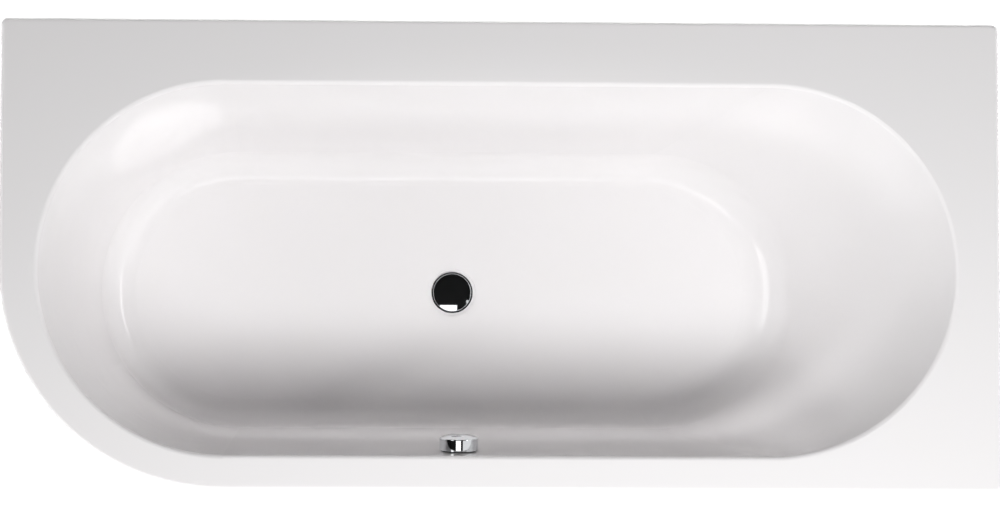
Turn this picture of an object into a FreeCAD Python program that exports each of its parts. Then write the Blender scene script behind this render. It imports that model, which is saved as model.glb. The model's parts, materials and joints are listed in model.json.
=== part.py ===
"""Asymmetric built-in bathtub on a levelling cradle, with a turn-knob pop-up waste.

Millimetres, +Z up. The origin lies on the floor under the middle of the rim, +X runs from the
foot end to the backrest and +Y to the wall behind the wide deck. The tub is a drawn acrylic shell
backed with glass fibre. A board is laminated under its floor, two steel rails are screwed to the
board, and four threaded legs stand in the rails. Turning the knob on the overflow pulls a cable,
which tilts a lever in the waste body and lifts the plug.
"""
import FreeCAD, Part
import math
import os
import Sketcher

SIZES = {
    # Envelope
    "tub_length": 1700,
    "tub_width": 800,
    "rim_height": 600,
    # Acrylic shell: deck widths, corners and skirt
    "deck_left": 64,
    "deck_right": 74,
    "deck_front": 58,
    "deck_back": 110,
    "round_corner": 380,
    "square_corner": 12,
    "skirt_depth": 45,
    "acrylic_wall": 5,
    "rim_round": 6,
    "lip_round": 8,
    # Acrylic shell: basin
    "basin_depth": 410,
    "side_run": 80,
    "foot_run": 108,
    "backrest_run": 274,
    "floor_round": 55,
    # Glass-fibre backing and the board laminated under it
    "bond_gap": 0.4,
    "backing_wall": 4,
    "board_thickness": 16,
    "board_margin": 20,
    "board_opening": 116,
    # Timber battens under the deck
    "batten_height": 18,
    "batten_setback": 10,
    "back_batten_width": 60,
    "back_batten_length": 1480,
    "front_batten_width": 28,
    "front_batten_length": 1180,
    "end_batten_width": 38,
    "end_batten_length": 560,
    # Cradle rails and the screws that hold them to the board
    "rail_width": 40,
    "rail_height": 25,
    "rail_sheet": 2,
    "rail_from_left": 370,
    "rail_from_right": 550,
    "screw_near": 50,
    "screw_far": 125,
    "screw_shank": 4,
    "screw_length": 15,
    "screw_head": 8,
    "screw_head_height": 2.5,
    "screw_clearance": 0.2,
    # Levelling legs
    "leg_inset": 30,
    "leg_clearance": 18,
    "stud_diameter": 10,
    "stud_spare": 42,
    "stud_seat": 8,
    "stud_tip": 1.5,
    "stud_clearance": 0.1,
    "foot_diameter": 56,
    "foot_disc": 8,
    "foot_neck": 26,
    "foot_height": 32,
    "foot_edge": 2,
    "leg_nut_flats": 17,
    "leg_nut_height": 8,
    # Waste: dish and hole in the floor, flange and sleeve
    "drain_from_left": 780,
    "waste_hole": 52,
    "dish_diameter": 84,
    "dish_depth": 2,
    "waste_flange_diameter": 74,
    "waste_flange_rise": 0.8,
    "waste_flange_edge": 0.8,
    "seat_diameter": 60,
    "seat_drop": 0.3,
    "sleeve_diameter": 50,
    "sleeve_bore": 44,
    "sleeve_length": 28,
    # Plug
    "plug_diameter": 68,
    "plug_edge": 2.2,
    "plug_crown": 4,
    "plug_gap": 0.5,
    "plug_round": 1.2,
    "plug_lift": 12,
    "carrier_diameter": 40,
    "carrier_height": 9,
    "seal_diameter": 57,
    "seal_lift": 0.1,
    "stem_diameter": 8,
    "stem_point": 2.4,
    "stem_socket": 5,
    "stem_nut_flats": 13,
    "stem_nut_height": 4,
    # Stem guide
    "guide_height": 8,
    "guide_wall": 2,
    "guide_hub": 14,
    "guide_rib": 3,
    "fit_gap": 0.2,
    # Waste body
    "waste_gasket_height": 3,
    "waste_body_flange": 78,
    "waste_body_flange_height": 4,
    "barrel_upper": 58,
    "barrel_upper_length": 22,
    "barrel_lower": 48,
    "barrel_bore": 40,
    "barrel_depth": 86,
    "inlet_drop": 50,
    "inlet_reach": 84,
    "inlet_bore": 27,
    "socket_diameter": 37,
    "socket_depth": 24,
    # Lift lever and its pin
    "lever_reach": 24,
    "lever_tail": 11,
    "lever_width": 8,
    "lever_height": 5,
    "lever_hub": 9,
    "lever_gap": 0.5,
    "lever_eye": 2,
    "pin_diameter": 4,
    "pin_length": 34,
    "pin_clearance": 0.05,
    # Trap
    "trap_washer_height": 2,
    "trap_tube": 44,
    "trap_tube_bore": 38,
    "trap_collar_height": 3,
    "trap_nut_diameter": 62,
    "trap_nut_cover": 14,
    "trap_nut_lip": 3,
    "trap_neck": 3,
    "bowl_diameter": 88,
    "bowl_wall": 3,
    "bowl_height": 76,
    "dip_depth": 66,
    "outlet_drop": 22,
    "outlet_diameter": 40,
    "outlet_bore": 35.6,
    "outlet_reach": 150,
    "outlet_boss": 43,
    "outlet_boss_length": 8,
    "cup_diameter": 97,
    "cup_height": 22,
    "cup_floor": 4,
    "grip_width": 5,
    "grip_rise": 2,
    # Overflow: hole in the front wall, face ring and gasket
    "overflow_from_left": 780,
    "overflow_drop": 66,
    "overflow_hole": 52,
    "face_diameter": 59,
    "face_height": 3,
    "face_hub": 18,
    "face_hub_height": 8,
    "face_port": 11,
    "face_port_circle": 36,
    "face_port_turn": 60,
    "overflow_gasket_height": 4,
    # Overflow body
    "overflow_flange": 74,
    "overflow_flange_height": 4,
    "chamber_diameter": 60,
    "chamber_wall": 3,
    "chamber_depth": 36,
    "outlet_set_back": 19,
    "outlet_arm": 64,
    "pillar_diameter": 9,
    "pillar_circle": 40,
    "pillar_recess": 5,
    "face_screw": 4.4,
    "face_screw_length": 34,
    "face_screw_head": 8.4,
    "face_screw_head_height": 2,
    # Knob and its spindle
    "knob_diameter": 66,
    "knob_stand_off": 2,
    "knob_length": 20.5,
    "knob_crown": 6,
    "knob_round": 1.6,
    "knob_wall": 3,
    "knob_roof": 5,
    "knob_boss": 18,
    "knob_boss_height": 6,
    "spindle_diameter": 10,
    "spindle_clearance": 0.08,
    "spindle_grip": 10,
    "pulley_diameter": 24,
    "pulley_height": 8,
    "pulley_groove": 3,
    "pulley_back_gap": 4,
    "grub_diameter": 4,
    "grub_length": 3.6,
    # Overflow pipe with its slip nuts and seals
    "pipe_diameter": 32,
    "pipe_wall": 2,
    "pipe_bend": 70,
    "pipe_insertion": 20,
    "slip_nut_diameter": 44,
    "slip_nut_length": 16,
    "slip_nut_lip": 3,
    "slip_seal_height": 3,
    # Pull cable, its bosses and clips
    "cable_diameter": 5,
    "cable_offset": 27,
    "cable_boss": 11,
    "cable_boss_length": 22,
    "cable_insertion": 14,
    "clip_length": 10,
    "clip_wall": 2,
    "clip_gap": 0.3,
    "clip_from_arm": 50,
    "clip_spacing": 110,
    # One overrun serves every cut that leaves a face
    "overrun": 10,
}

DERIVED = {
    # Basin: wall angles, the three floor fillets and where they meet the walls
    "opening_radius": "(Sizes.tub_width - Sizes.deck_front - Sizes.deck_back) / 2",
    "centre_line": "Sizes.deck_front + opening_radius",
    "floor_level": "Sizes.rim_height - Sizes.basin_depth",
    "wall_lean": "atan(Sizes.side_run / Sizes.basin_depth)",
    "foot_lean": "atan(Sizes.foot_run / Sizes.basin_depth)",
    "backrest_lean": "atan(Sizes.backrest_run / Sizes.basin_depth)",
    "fillet_top": "Sizes.floor_round * (1 - sin(wall_lean))",
    "foot_round": "fillet_top / (1 - sin(foot_lean))",
    "backrest_round": "fillet_top / (1 - sin(backrest_lean))",
    "fillet_top_inset": "Sizes.side_run * (1 - fillet_top / Sizes.basin_depth)",
    "flat_inset": "fillet_top_inset + Sizes.floor_round * cos(wall_lean)",
    "flat_foot_inset":
        "Sizes.foot_run * (1 - fillet_top / Sizes.basin_depth) + foot_round * cos(foot_lean)",
    "flat_backrest_inset":
        "Sizes.backrest_run * (1 - fillet_top / Sizes.basin_depth) + backrest_round * cos(backrest_lean)",
    # Layers under the floor and through the leaning wall
    "skin": "Sizes.acrylic_wall + Sizes.bond_gap",
    "stack": "skin + Sizes.backing_wall",
    "wall_stack": "stack * (cos(wall_lean) + sin(wall_lean))",
    "board_level": "floor_level - stack - Sizes.board_thickness",
    "rail_level": "board_level - Sizes.rail_height",
    # Legs stand beside the basin, clear of its backing at the top of the floor fillet
    "leg_reach": "opening_radius - fillet_top_inset + stack + Sizes.leg_clearance",
    "rail_length": "2 * (leg_reach + Sizes.leg_inset)",
    "stud_top": "board_level + Sizes.leg_nut_height + Sizes.stud_spare",
    # Frame of the waste set, on the floor at the drain
    "drain_x": "Sizes.drain_from_left - Sizes.tub_length / 2",
    "drain_y": "centre_line - Sizes.tub_width / 2",
    "cap_level": "Sizes.waste_flange_rise + Sizes.plug_gap",
    "sleeve_end": "-Sizes.dish_depth - Sizes.sleeve_length",
    "waste_body_top": "-stack - Sizes.waste_gasket_height",
    "lever_tilt": "asin(Sizes.plug_lift / (2 * Sizes.lever_reach))",
    "stem_end": "-Sizes.inlet_drop - Sizes.plug_lift / 2 + Sizes.lever_height / 2 + Sizes.lever_gap",
    "trap_top": "-Sizes.barrel_depth - Sizes.trap_washer_height",
    "bowl_top": "trap_top - Sizes.trap_collar_height - Sizes.trap_nut_lip - Sizes.trap_neck",
    "bowl_end": "bowl_top - Sizes.bowl_height",
    # Frame of the overflow set, on the inside of the front wall
    "overflow_x": "Sizes.overflow_from_left - Sizes.tub_length / 2",
    "overflow_wall": "Sizes.deck_front + Sizes.side_run * Sizes.overflow_drop / Sizes.basin_depth",
    "overflow_y": "overflow_wall - Sizes.tub_width / 2",
    "overflow_z": "Sizes.rim_height - Sizes.overflow_drop",
    "overflow_tilt": "90 deg - wall_lean",
    "overflow_body_top": "-wall_stack - Sizes.overflow_gasket_height",
    "chamber_end": "overflow_body_top - Sizes.chamber_depth",
    "outlet_axis": "overflow_body_top - Sizes.outlet_set_back",
}

# Sections of the floor fillet, as shares of its turn from the flat floor up to the wall
FLOOR_TURN_SHARES = (1.0, 0.8, 0.6, 0.4, 0.2, 0.0)

# How far an edge may lie off a height that it is looked for at
EDGE_TOLERANCE = 1e-3

X_AXIS = FreeCAD.Vector(1, 0, 0)
Y_AXIS = FreeCAD.Vector(0, 1, 0)
Z_AXIS = FreeCAD.Vector(0, 0, 1)

doc = FreeCAD.newDocument("asymmetric_bathtub")
sizes = doc.addObject("Spreadsheet::Sheet", "Sizes")
derived = doc.addObject("Spreadsheet::Sheet", "Derived")
nodes = []


def fill(sheet, rows, lead):
    """Write a table of aliases and their contents into a sheet."""
    for row, (alias, content) in enumerate(rows.items(), start=1):
        sheet.set(f"A{row}", alias)
        sheet.set(f"B{row}", f"{lead}{content}")
        sheet.setAlias(f"B{row}", alias)
    doc.recompute()


fill(sizes, SIZES, "")
fill(derived, DERIVED, "=")


# Small tools for sketches, features and places

def measure(expression):
    """Value of a size expression in millimetres or degrees."""
    result = derived.evalExpression(expression)
    return float(getattr(result, "Value", result))


def bind(target, expressions):
    """Tie properties of an object to size expressions."""
    for name, expression in expressions.items():
        target.setExpression(name, expression)


def put(target, x, y, z, axis=None, angle="0"):
    """Place an object by size expressions, turned about an axis by an angle expression."""
    if axis is not None:
        target.Placement = FreeCAD.Placement(FreeCAD.Vector(), FreeCAD.Rotation(axis, measure(angle)))
        bind(target, {"Placement.Rotation.Angle": angle})
    bind(target, {"Placement.Base.x": x, "Placement.Base.y": y, "Placement.Base.z": z})
    return target


def from_corner(target):
    """Frame of the shell: its front-left corner, on the floor of the room."""
    return put(target, "-Sizes.tub_length / 2", "-Sizes.tub_width / 2", "0")


def at_drain(target):
    """Frame of the waste set: the drain's axis at the inside of the tub's floor."""
    return put(target, "Derived.drain_x", "Derived.drain_y", "Derived.floor_level")


def on_wall(target):
    """Frame of the overflow set: its axis points out of the front wall, its Y runs down the wall."""
    return put(target, "Derived.overflow_x", "Derived.overflow_y", "Derived.overflow_z",
               -X_AXIS, "Derived.overflow_tilt")


def on_pipe_run(target, along):
    """Frame on the upper run of the overflow pipe, which looks down the run."""
    lean = "Derived.wall_lean"
    down = f"(Sizes.outlet_arm + {along})"
    y = f"Derived.overflow_y + {down} * sin({lean}) + Derived.outlet_axis * cos({lean})"
    z = f"Derived.overflow_z - {down} * cos({lean}) + Derived.outlet_axis * sin({lean})"
    return put(target, "Derived.overflow_x", y, z, -X_AXIS, f"180 deg - {lean}")


def on_inlet_run(target, along):
    """Frame on the lower run of the overflow pipe, which looks away from the waste body."""
    y = f"Derived.drain_y - Sizes.inlet_reach - {along}"
    return put(target, "Derived.drain_x", y, "Derived.floor_level - Sizes.inlet_drop", X_AXIS, "90 deg")


def node(target, label):
    """Register an object as a piece of the tub under its own name."""
    target.Label = label
    nodes.append(target)
    return target


def new_body(label, place, piece=True):
    """Empty body in one of the frames above."""
    body = place(doc.addObject("PartDesign::Body", label))
    return node(body, label) if piece else body


def origin_feature(body, role):
    """Origin plane or axis of a body."""
    return next(feature for feature in body.Origin.OriginFeatures if feature.Role == role)


def new_sketch(body, name, role="XY_Plane", height="0"):
    """Sketch on an origin plane of its body, moved along the plane's normal."""
    sketch = body.newObject("Sketcher::SketchObject", f"{body.Name}_{name}")
    sketch.AttachmentSupport = [(origin_feature(body, role), "")]
    sketch.MapMode = "FlatFace"
    bind(sketch, {"AttachmentOffset.Base.z": height})
    return sketch


def vector(x, y):
    """Point of a sketch from two size expressions."""
    return FreeCAD.Vector(measure(x), measure(y), 0)


def dimension(sketch, expression, kind, *references):
    """Dimensional constraint tied to a size expression."""
    index = sketch.addConstraint(Sketcher.Constraint(kind, *references, measure(expression)))
    bind(sketch, {f"Constraints[{index}]": expression})


def hold(sketch, geometry, point, x=None, y=None):
    """Fix a point of a sketch at distances from the sketch's origin."""
    for axis, kind, expression in ((-2, "DistanceX", x), (-1, "DistanceY", y)):
        if expression == "0":
            sketch.addConstraint(Sketcher.Constraint("PointOnObject", geometry, point, axis))
        elif expression is not None:
            dimension(sketch, expression, kind, -1, 1, geometry, point)


def outline(sketch, corners, dome=None):
    """Closed outline through corners; the edge numbered dome is an arc centred on the sketch's Y axis."""
    points = [vector(x, y) for x, y in corners]
    for number, start in enumerate(points):
        end = points[(number + 1) % len(points)]
        edge = Part.LineSegment(start, end)
        if number == dome:
            crown = end.y - start.y
            radius = (start.x ** 2 + crown ** 2) / (2 * crown)
            centre = FreeCAD.Vector(0, end.y - radius, 0)
            first = math.atan2(start.y - centre.y, start.x)
            edge = Part.ArcOfCircle(Part.Circle(centre, Z_AXIS, radius), first, math.pi / 2)
        sketch.addGeometry(edge)
    for number, (x, y) in enumerate(corners):
        following = (number + 1) % len(corners)
        sketch.addConstraint(Sketcher.Constraint("Coincident", number, 2, following, 1))
        hold(sketch, number, 1, x, y)
    if dome is not None:
        sketch.addConstraint(Sketcher.Constraint("PointOnObject", dome, 3, -2))
    return sketch


def circles(sketch, centres, diameter):
    """Equal circles at places given by size expressions."""
    for x, y in centres:
        number = sketch.addGeometry(Part.Circle(vector(x, y), Z_AXIS, measure(diameter) / 2))
        hold(sketch, number, 3, x, y)
        dimension(sketch, diameter, "Diameter", number)
    return sketch


def joined_loop(sketch):
    """Join the edges of a sketch end to end, each tangent to the next."""
    count = sketch.GeometryCount
    for number in range(count):
        following = (number + 1) % count
        sketch.addConstraint(Sketcher.Constraint("Tangent", number, 2, following, 1))
    return sketch


def stadium(sketch, left, right, middle, radius):
    """Two half circles joined by straight sides: left and right are the circles' centres."""
    low, high = f"{middle} - ({radius})", f"{middle} + ({radius})"
    half_turn = math.pi / 2
    for x, start, side, side_end in ((left, half_turn, (left, low), (right, low)),
                                     (right, -half_turn, (right, high), (left, high))):
        circle = Part.Circle(vector(x, middle), Z_AXIS, measure(radius))
        sketch.addGeometry(Part.ArcOfCircle(circle, start, start + math.pi))
        sketch.addGeometry(Part.LineSegment(vector(*side), vector(*side_end)))
    joined_loop(sketch)
    hold(sketch, 0, 3, left, middle)
    hold(sketch, 2, 3, right, middle)
    dimension(sketch, radius, "Radius", 0)
    sketch.addConstraint(Sketcher.Constraint("Equal", 0, 2))
    return sketch


def rim_outline(sketch, inset):
    """Outline of the deck, drawn in by an inset: three small corners and the large front-left one."""
    left, front = inset, inset
    right, back = f"Sizes.tub_length - {inset}", f"Sizes.tub_width - {inset}"
    small, large = f"Sizes.square_corner - {inset}", f"Sizes.round_corner - {inset}"
    left_centre, right_centre = f"{left} + {small}", f"{right} - ({small})"
    front_centre, back_centre = f"{front} + {small}", f"{back} - ({small})"
    round_x, round_y = f"{left} + {large}", f"{front} + {large}"
    quarter = math.pi / 2
    sides = (
        ((round_x, front), (right_centre, front), (right_centre, front_centre)),
        ((right, front_centre), (right, back_centre), (right_centre, back_centre)),
        ((right_centre, back), (left_centre, back), (left_centre, back_centre)),
        ((left, back_centre), (left, round_y), (round_x, round_y)),
    )
    radii = (small, small, small, large)
    for number, ((start, end, centre), radius) in enumerate(zip(sides, radii)):
        circle = Part.Circle(vector(*centre), Z_AXIS, measure(radius))
        first = (number - 1) * quarter
        sketch.addGeometry(Part.LineSegment(vector(*start), vector(*end)))
        sketch.addGeometry(Part.ArcOfCircle(circle, first, first + quarter))
    joined_loop(sketch)
    for number, direction in ((0, "Horizontal"), (2, "Vertical"), (4, "Horizontal"), (6, "Vertical")):
        sketch.addConstraint(Sketcher.Constraint(direction, number))
    hold(sketch, 0, 1, y=front)
    hold(sketch, 2, 1, x=right)
    hold(sketch, 4, 1, y=back)
    hold(sketch, 6, 1, x=left)
    for number, radius in zip((1, 3, 5, 7), radii):
        dimension(sketch, radius, "Radius", number)
    return sketch


def add(body, kind, name, profile):
    """New feature of a body on a sketch."""
    feature = body.newObject(f"PartDesign::{kind}", f"{body.Name}_{name}")
    feature.Profile = profile
    return feature


def cut_checked(feature):
    """Make sure that a cut took material away."""
    doc.recompute()
    if feature.Shape.Volume >= feature.BaseFeature.Shape.Volume:
        raise RuntimeError(f"{feature.Name} cuts nothing")
    return feature


def pad(body, name, sketch, length, along=True, both=False):
    """Add material along the sketch's normal, against it, or evenly on both sides."""
    feature = add(body, "Pad", name, sketch)
    feature.Reversed = not along
    feature.Midplane = both
    bind(feature, {"Length": length})
    return feature


def pocket(body, name, sketch, depth, along=False, both=False):
    """Take material away against the sketch's normal, along it, or evenly on both sides."""
    feature = add(body, "Pocket", name, sketch)
    feature.Reversed = along
    feature.Midplane = both
    bind(feature, {"Length": depth})
    return cut_checked(feature)


def turned(body, name, corners, dome=None):
    """Solid of revolution about the body's Z axis; corners are radius and height."""
    sketch = outline(new_sketch(body, f"{name}_profile", "XZ_Plane"), corners, dome)
    feature = add(body, "Revolution", name, sketch)
    feature.ReferenceAxis = (sketch, ["V_Axis"])
    return feature


def bored(body, name, corners):
    """Turned cut about the body's Z axis; corners are radius and height."""
    sketch = outline(new_sketch(body, f"{name}_profile", "XZ_Plane"), corners)
    feature = add(body, "Groove", name, sketch)
    feature.ReferenceAxis = (sketch, ["V_Axis"])
    return cut_checked(feature)


def ring(label, place, inner, outer, low, high, piece=True):
    """Plain turned ring."""
    body = new_body(label, place, piece)
    turned(body, "ring", ((inner, low), (outer, low), (outer, high), (inner, high)))
    return body


def rounded(body, name, keep, radius):
    """Fillet on the edges of the body's last feature that a test keeps."""
    doc.recompute()
    base = body.Tip
    edges = [f"Edge{number}" for number, edge in enumerate(base.Shape.Edges, start=1) if keep(edge)]
    feature = body.newObject("PartDesign::Fillet", f"{body.Name}_{name}")
    feature.Base = (base, edges)
    bind(feature, {"Radius": radius})
    return feature


def at_height(level, edge):
    """Whether an edge lies flat at a height of its body's frame."""
    box = edge.BoundBox
    return max(abs(box.ZMin - level), abs(box.ZMax - level)) < EDGE_TOLERANCE


def repeated(body, name, feature, count):
    """Turn a feature about the body's Z axis into an even ring of copies."""
    pattern = body.newObject("PartDesign::PolarPattern", f"{body.Name}_{name}")
    pattern.Originals = [feature]
    pattern.Axis = (origin_feature(body, "Z_Axis"), [""])
    pattern.Angle = 360
    pattern.Occurrences = count
    body.Tip = pattern
    return pattern


def primitive(kind, name, expressions):
    """Part primitive with sizes tied to expressions."""
    solid = doc.addObject(f"Part::{kind}", name)
    bind(solid, expressions)
    return solid


def cylinder(name, diameter, height):
    """Part cylinder."""
    return primitive("Cylinder", name, {"Radius": f"({diameter}) / 2", "Height": height})


def difference(name, base, tool):
    """Base solid without the tool."""
    cut = doc.addObject("Part::Cut", name)
    cut.Base = base
    cut.Tool = tool
    return cut


def union(name, solids):
    """Solids joined to one."""
    fuse = doc.addObject("Part::MultiFuse", name)
    fuse.Shapes = solids
    return fuse


def group(label, solids):
    """Like pieces that share one node as separate solids."""
    compound = doc.addObject("Part::Compound", label)
    compound.Links = solids
    return node(compound, label)


# Shell, backing and board

def basin_rows():
    """Rows of the basin: insets at the sides, the foot end and the backrest, and height over the floor."""
    rows = [("0", "0", "0", "Sizes.basin_depth")]
    for share in FLOOR_TURN_SHARES:
        turn = f"{share} * (90 deg - Derived.wall_lean)"
        height = f"Sizes.floor_round * (1 - cos({turn}))"
        side = f"Derived.flat_inset - Sizes.floor_round * sin({turn})"
        ends = []
        for end in ("foot", "backrest"):
            swing = f"sqrt(Derived.{end}_round ^ 2 - (Derived.{end}_round - {height}) ^ 2)"
            ends.append(f"Derived.flat_{end}_inset - {swing}")
        rows.append((side, *ends, height))
    return rows


def basin_outline(sketch, side, foot, backrest, growth):
    """Stadium of the basin at given insets, grown outwards."""
    left = f"Sizes.deck_left + Derived.opening_radius + {foot} - ({side})"
    right = f"Sizes.tub_length - Sizes.deck_right - Derived.opening_radius - ({backrest}) + {side}"
    radius = f"Derived.opening_radius - ({side}) + {growth}"
    return stadium(sketch, left, right, "Derived.centre_line", radius)


def basin(body, name, kind, growth):
    """Basin form, grown outwards and lowered by growth: straight walls over a rounded floor."""
    sections = []
    for number, (*insets, height) in enumerate(basin_rows()):
        level = f"Derived.floor_level + {height} - {growth}"
        sketch = new_sketch(body, f"{name}_{number}", height=level)
        sections.append(basin_outline(sketch, *insets, growth))
    walls = add(body, kind, f"{name}_walls", sections[0])
    walls.Sections = sections[1:2]
    walls.Ruled = True
    floor = add(body, kind, f"{name}_floor", sections[1])
    floor.Sections = sections[2:]


def overflow_cut(body, diameter):
    """Hole square to the leaning front wall."""
    sketch = new_sketch(body, "overflow_hole", "XZ_Plane", "-Derived.overflow_wall")
    circles(sketch, (("0", "0"),), diameter)
    lean = FreeCAD.Rotation(X_AXIS, measure("Derived.wall_lean"))
    sketch.AttachmentOffset = FreeCAD.Placement(sketch.AttachmentOffset.Base, lean)
    bind(sketch, {"AttachmentOffset.Base.x": "Sizes.overflow_from_left",
                  "AttachmentOffset.Base.y": "Sizes.rim_height - Sizes.overflow_drop",
                  "AttachmentOffset.Rotation.Angle": "Derived.wall_lean"})
    pocket(body, "overflow_cut", sketch, "2 * (Derived.wall_stack + Sizes.overrun)", both=True)


def waste_cut(body):
    """Hole for the waste in the floor."""
    sketch = new_sketch(body, "waste_hole", height="Derived.floor_level")
    circles(sketch, (("Sizes.drain_from_left", "Derived.centre_line"),), "Sizes.waste_hole")
    pocket(body, "waste_cut", sketch, "Derived.stack + Sizes.overrun")


def make_shell():
    """Acrylic shell: deck with a turned-down skirt, and the basin drawn into it."""
    body = new_body("tub_shell", from_corner)
    skirt_end = "Sizes.rim_height - Sizes.skirt_depth"
    deck = rim_outline(new_sketch(body, "deck_outline", height=skirt_end), "0")
    pad(body, "deck", deck, "Sizes.skirt_depth")
    rim = measure("Sizes.rim_height")
    rounded(body, "rim_edge", lambda edge: at_height(rim, edge), "Sizes.rim_round")
    hollow = rim_outline(new_sketch(body, "hollow_outline", height=skirt_end), "Sizes.acrylic_wall")
    pocket(body, "hollow", hollow, "Sizes.skirt_depth - Sizes.acrylic_wall", along=True)
    basin(body, "outside", "AdditiveLoft", "Sizes.acrylic_wall")
    basin(body, "inside", "SubtractiveLoft", "0")
    rounded(body, "lip", lambda edge: at_height(rim, edge) and is_opening_edge(edge), "Sizes.lip_round")
    dish = new_sketch(body, "dish_outline", height="Derived.floor_level")
    circles(dish, (("Sizes.drain_from_left", "Derived.centre_line"),), "Sizes.dish_diameter")
    pocket(body, "dish", dish, "Sizes.dish_depth")
    waste_cut(body)
    overflow_cut(body, "Sizes.overflow_hole")


def is_opening_edge(edge):
    """Whether an edge at the rim belongs to the opening of the basin."""
    box = edge.BoundBox
    front = measure("Sizes.deck_front") - EDGE_TOLERANCE
    back = measure("Sizes.tub_width - Sizes.deck_back") + EDGE_TOLERANCE
    return box.YMin > front and box.YMax < back


def make_backing():
    """Glass-fibre layer under the deck and round the basin, one bond line off the acrylic."""
    body = new_body("fibreglass_backing", from_corner)
    sketch = new_sketch(body, "deck_outline", height="Sizes.rim_height - Derived.stack")
    pad(body, "deck", rim_outline(sketch, "Derived.skin"), "Sizes.backing_wall")
    basin(body, "outside", "AdditiveLoft", "Derived.stack")
    basin(body, "inside", "SubtractiveLoft", "Derived.skin")
    waste_cut(body)
    overflow_cut(body, "Sizes.overflow_hole")


def rail_places():
    """Distances of the two rails from the foot end of the shell."""
    return {"foot_end": "Sizes.rail_from_left", "head_end": "Sizes.tub_length - Sizes.rail_from_right"}


def screw_places():
    """Distances of the four screws of a rail from the centre line."""
    return ("-Sizes.screw_far", "-Sizes.screw_near", "Sizes.screw_near", "Sizes.screw_far")


def make_board():
    """Board laminated under the floor, open round the waste and drilled for the rail screws."""
    body = new_body("base_board", from_corner)
    *insets, _ = basin_rows()[-1]
    sketch = new_sketch(body, "board_outline", height="Derived.board_level")
    basin_outline(sketch, *insets, "-Sizes.board_margin")
    pad(body, "board", sketch, "Sizes.board_thickness")
    opening = new_sketch(body, "waste_opening", height="Derived.board_level")
    circles(opening, (("Sizes.drain_from_left", "Derived.centre_line"),), "Sizes.board_opening")
    pocket(body, "opening", opening, "Sizes.board_thickness", along=True)
    holes = new_sketch(body, "screw_holes", height="Derived.board_level")
    centres = [(x, f"Derived.centre_line + {y}") for x in rail_places().values() for y in screw_places()]
    circles(holes, centres, "Sizes.screw_shank + 2 * Sizes.screw_clearance")
    depth = "Sizes.screw_length - Sizes.rail_sheet + Sizes.screw_clearance"
    pocket(body, "pilot_holes", holes, depth, along=True)


def make_battens():
    """Timber battens that stiffen the deck at the back, the front and the backrest end."""
    edge = "(Sizes.acrylic_wall + Sizes.batten_setback)"
    end_x = f"Sizes.tub_length / 2 - {edge} - Sizes.end_batten_width"
    battens = {
        "back_rim_batten": ("Sizes.back_batten_length", "Sizes.back_batten_width",
                            "-Sizes.back_batten_length / 2",
                            f"Sizes.tub_width / 2 - {edge} - Sizes.back_batten_width"),
        "front_rim_batten": ("Sizes.front_batten_length", "Sizes.front_batten_width",
                             f"{end_x} - Sizes.batten_setback - Sizes.front_batten_length",
                             f"{edge} - Sizes.tub_width / 2"),
        "end_rim_batten": ("Sizes.end_batten_width", "Sizes.end_batten_length",
                           end_x, "-Sizes.end_batten_length / 2"),
    }
    height = "Sizes.batten_height"
    for label, (length, width, x, y) in battens.items():
        batten = primitive("Box", label, {"Length": length, "Width": width, "Height": height})
        node(put(batten, x, y, f"Sizes.rim_height - Derived.stack - {height}"), label)


# Cradle

def make_rails():
    """Steel channels, open below, drilled for the board screws and the legs."""
    half = "Sizes.rail_width / 2"
    inner = f"({half} - Sizes.rail_sheet)"
    web = "Sizes.rail_height - Sizes.rail_sheet"
    channel = (
        (f"-{half}", "0"), (f"-{inner}", "0"), (f"-{inner}", web), (inner, web),
        (inner, "0"), (half, "0"), (half, "Sizes.rail_height"), (f"-{half}", "Sizes.rail_height"),
    )
    legs = ("-Sizes.leg_inset", "Sizes.leg_inset - Derived.rail_length")
    back_end = "Derived.drain_y + Derived.rail_length / 2"
    for end, x in rail_places().items():
        place = (f"{x} - Sizes.tub_length / 2", back_end, "Derived.rail_level")
        body = new_body(f"{end}_rail", lambda target, place=place: put(target, *place))
        section = outline(new_sketch(body, "section", "XZ_Plane"), channel)
        pad(body, "channel", section, "Derived.rail_length")
        leg_holes = new_sketch(body, "leg_holes", height="Sizes.rail_height")
        circles(leg_holes, [("0", y) for y in legs], "Sizes.stud_diameter + 2 * Sizes.stud_clearance")
        pocket(body, "leg_cut", leg_holes, "Sizes.rail_height")
        screw_holes = new_sketch(body, "screw_holes", height="Sizes.rail_height")
        centres = [("0", f"{y} - Derived.rail_length / 2") for y in screw_places()]
        circles(screw_holes, centres, "Sizes.screw_shank + 2 * Sizes.screw_clearance")
        pocket(body, "screw_cut", screw_holes, "Sizes.rail_height")


def make_rail_screws():
    """Pan-head screws driven up through the rails into the board."""
    screws = []
    web = "Derived.board_level - Sizes.rail_sheet"
    for end, x in rail_places().items():
        for number, y in enumerate(screw_places()):
            name = f"{end}_screw_{number}"
            where = (f"{x} - Sizes.tub_length / 2", f"Derived.drain_y + {y}")
            head = cylinder(f"{name}_head", "Sizes.screw_head", "Sizes.screw_head_height")
            shank = cylinder(f"{name}_shank", "Sizes.screw_shank", "Sizes.screw_length")
            put(head, *where, f"{web} - Sizes.screw_head_height")
            put(shank, *where, web)
            screws.append(union(name, [head, shank]))
    group("rail_screws", screws)


def leg_places():
    """Places of the four legs, by name."""
    sides = {"front": "Derived.drain_y - Derived.leg_reach", "back": "Derived.drain_y + Derived.leg_reach"}
    return {f"{side}_{end}": (f"{x} - Sizes.tub_length / 2", y)
            for end, x in rail_places().items() for side, y in sides.items()}


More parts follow.
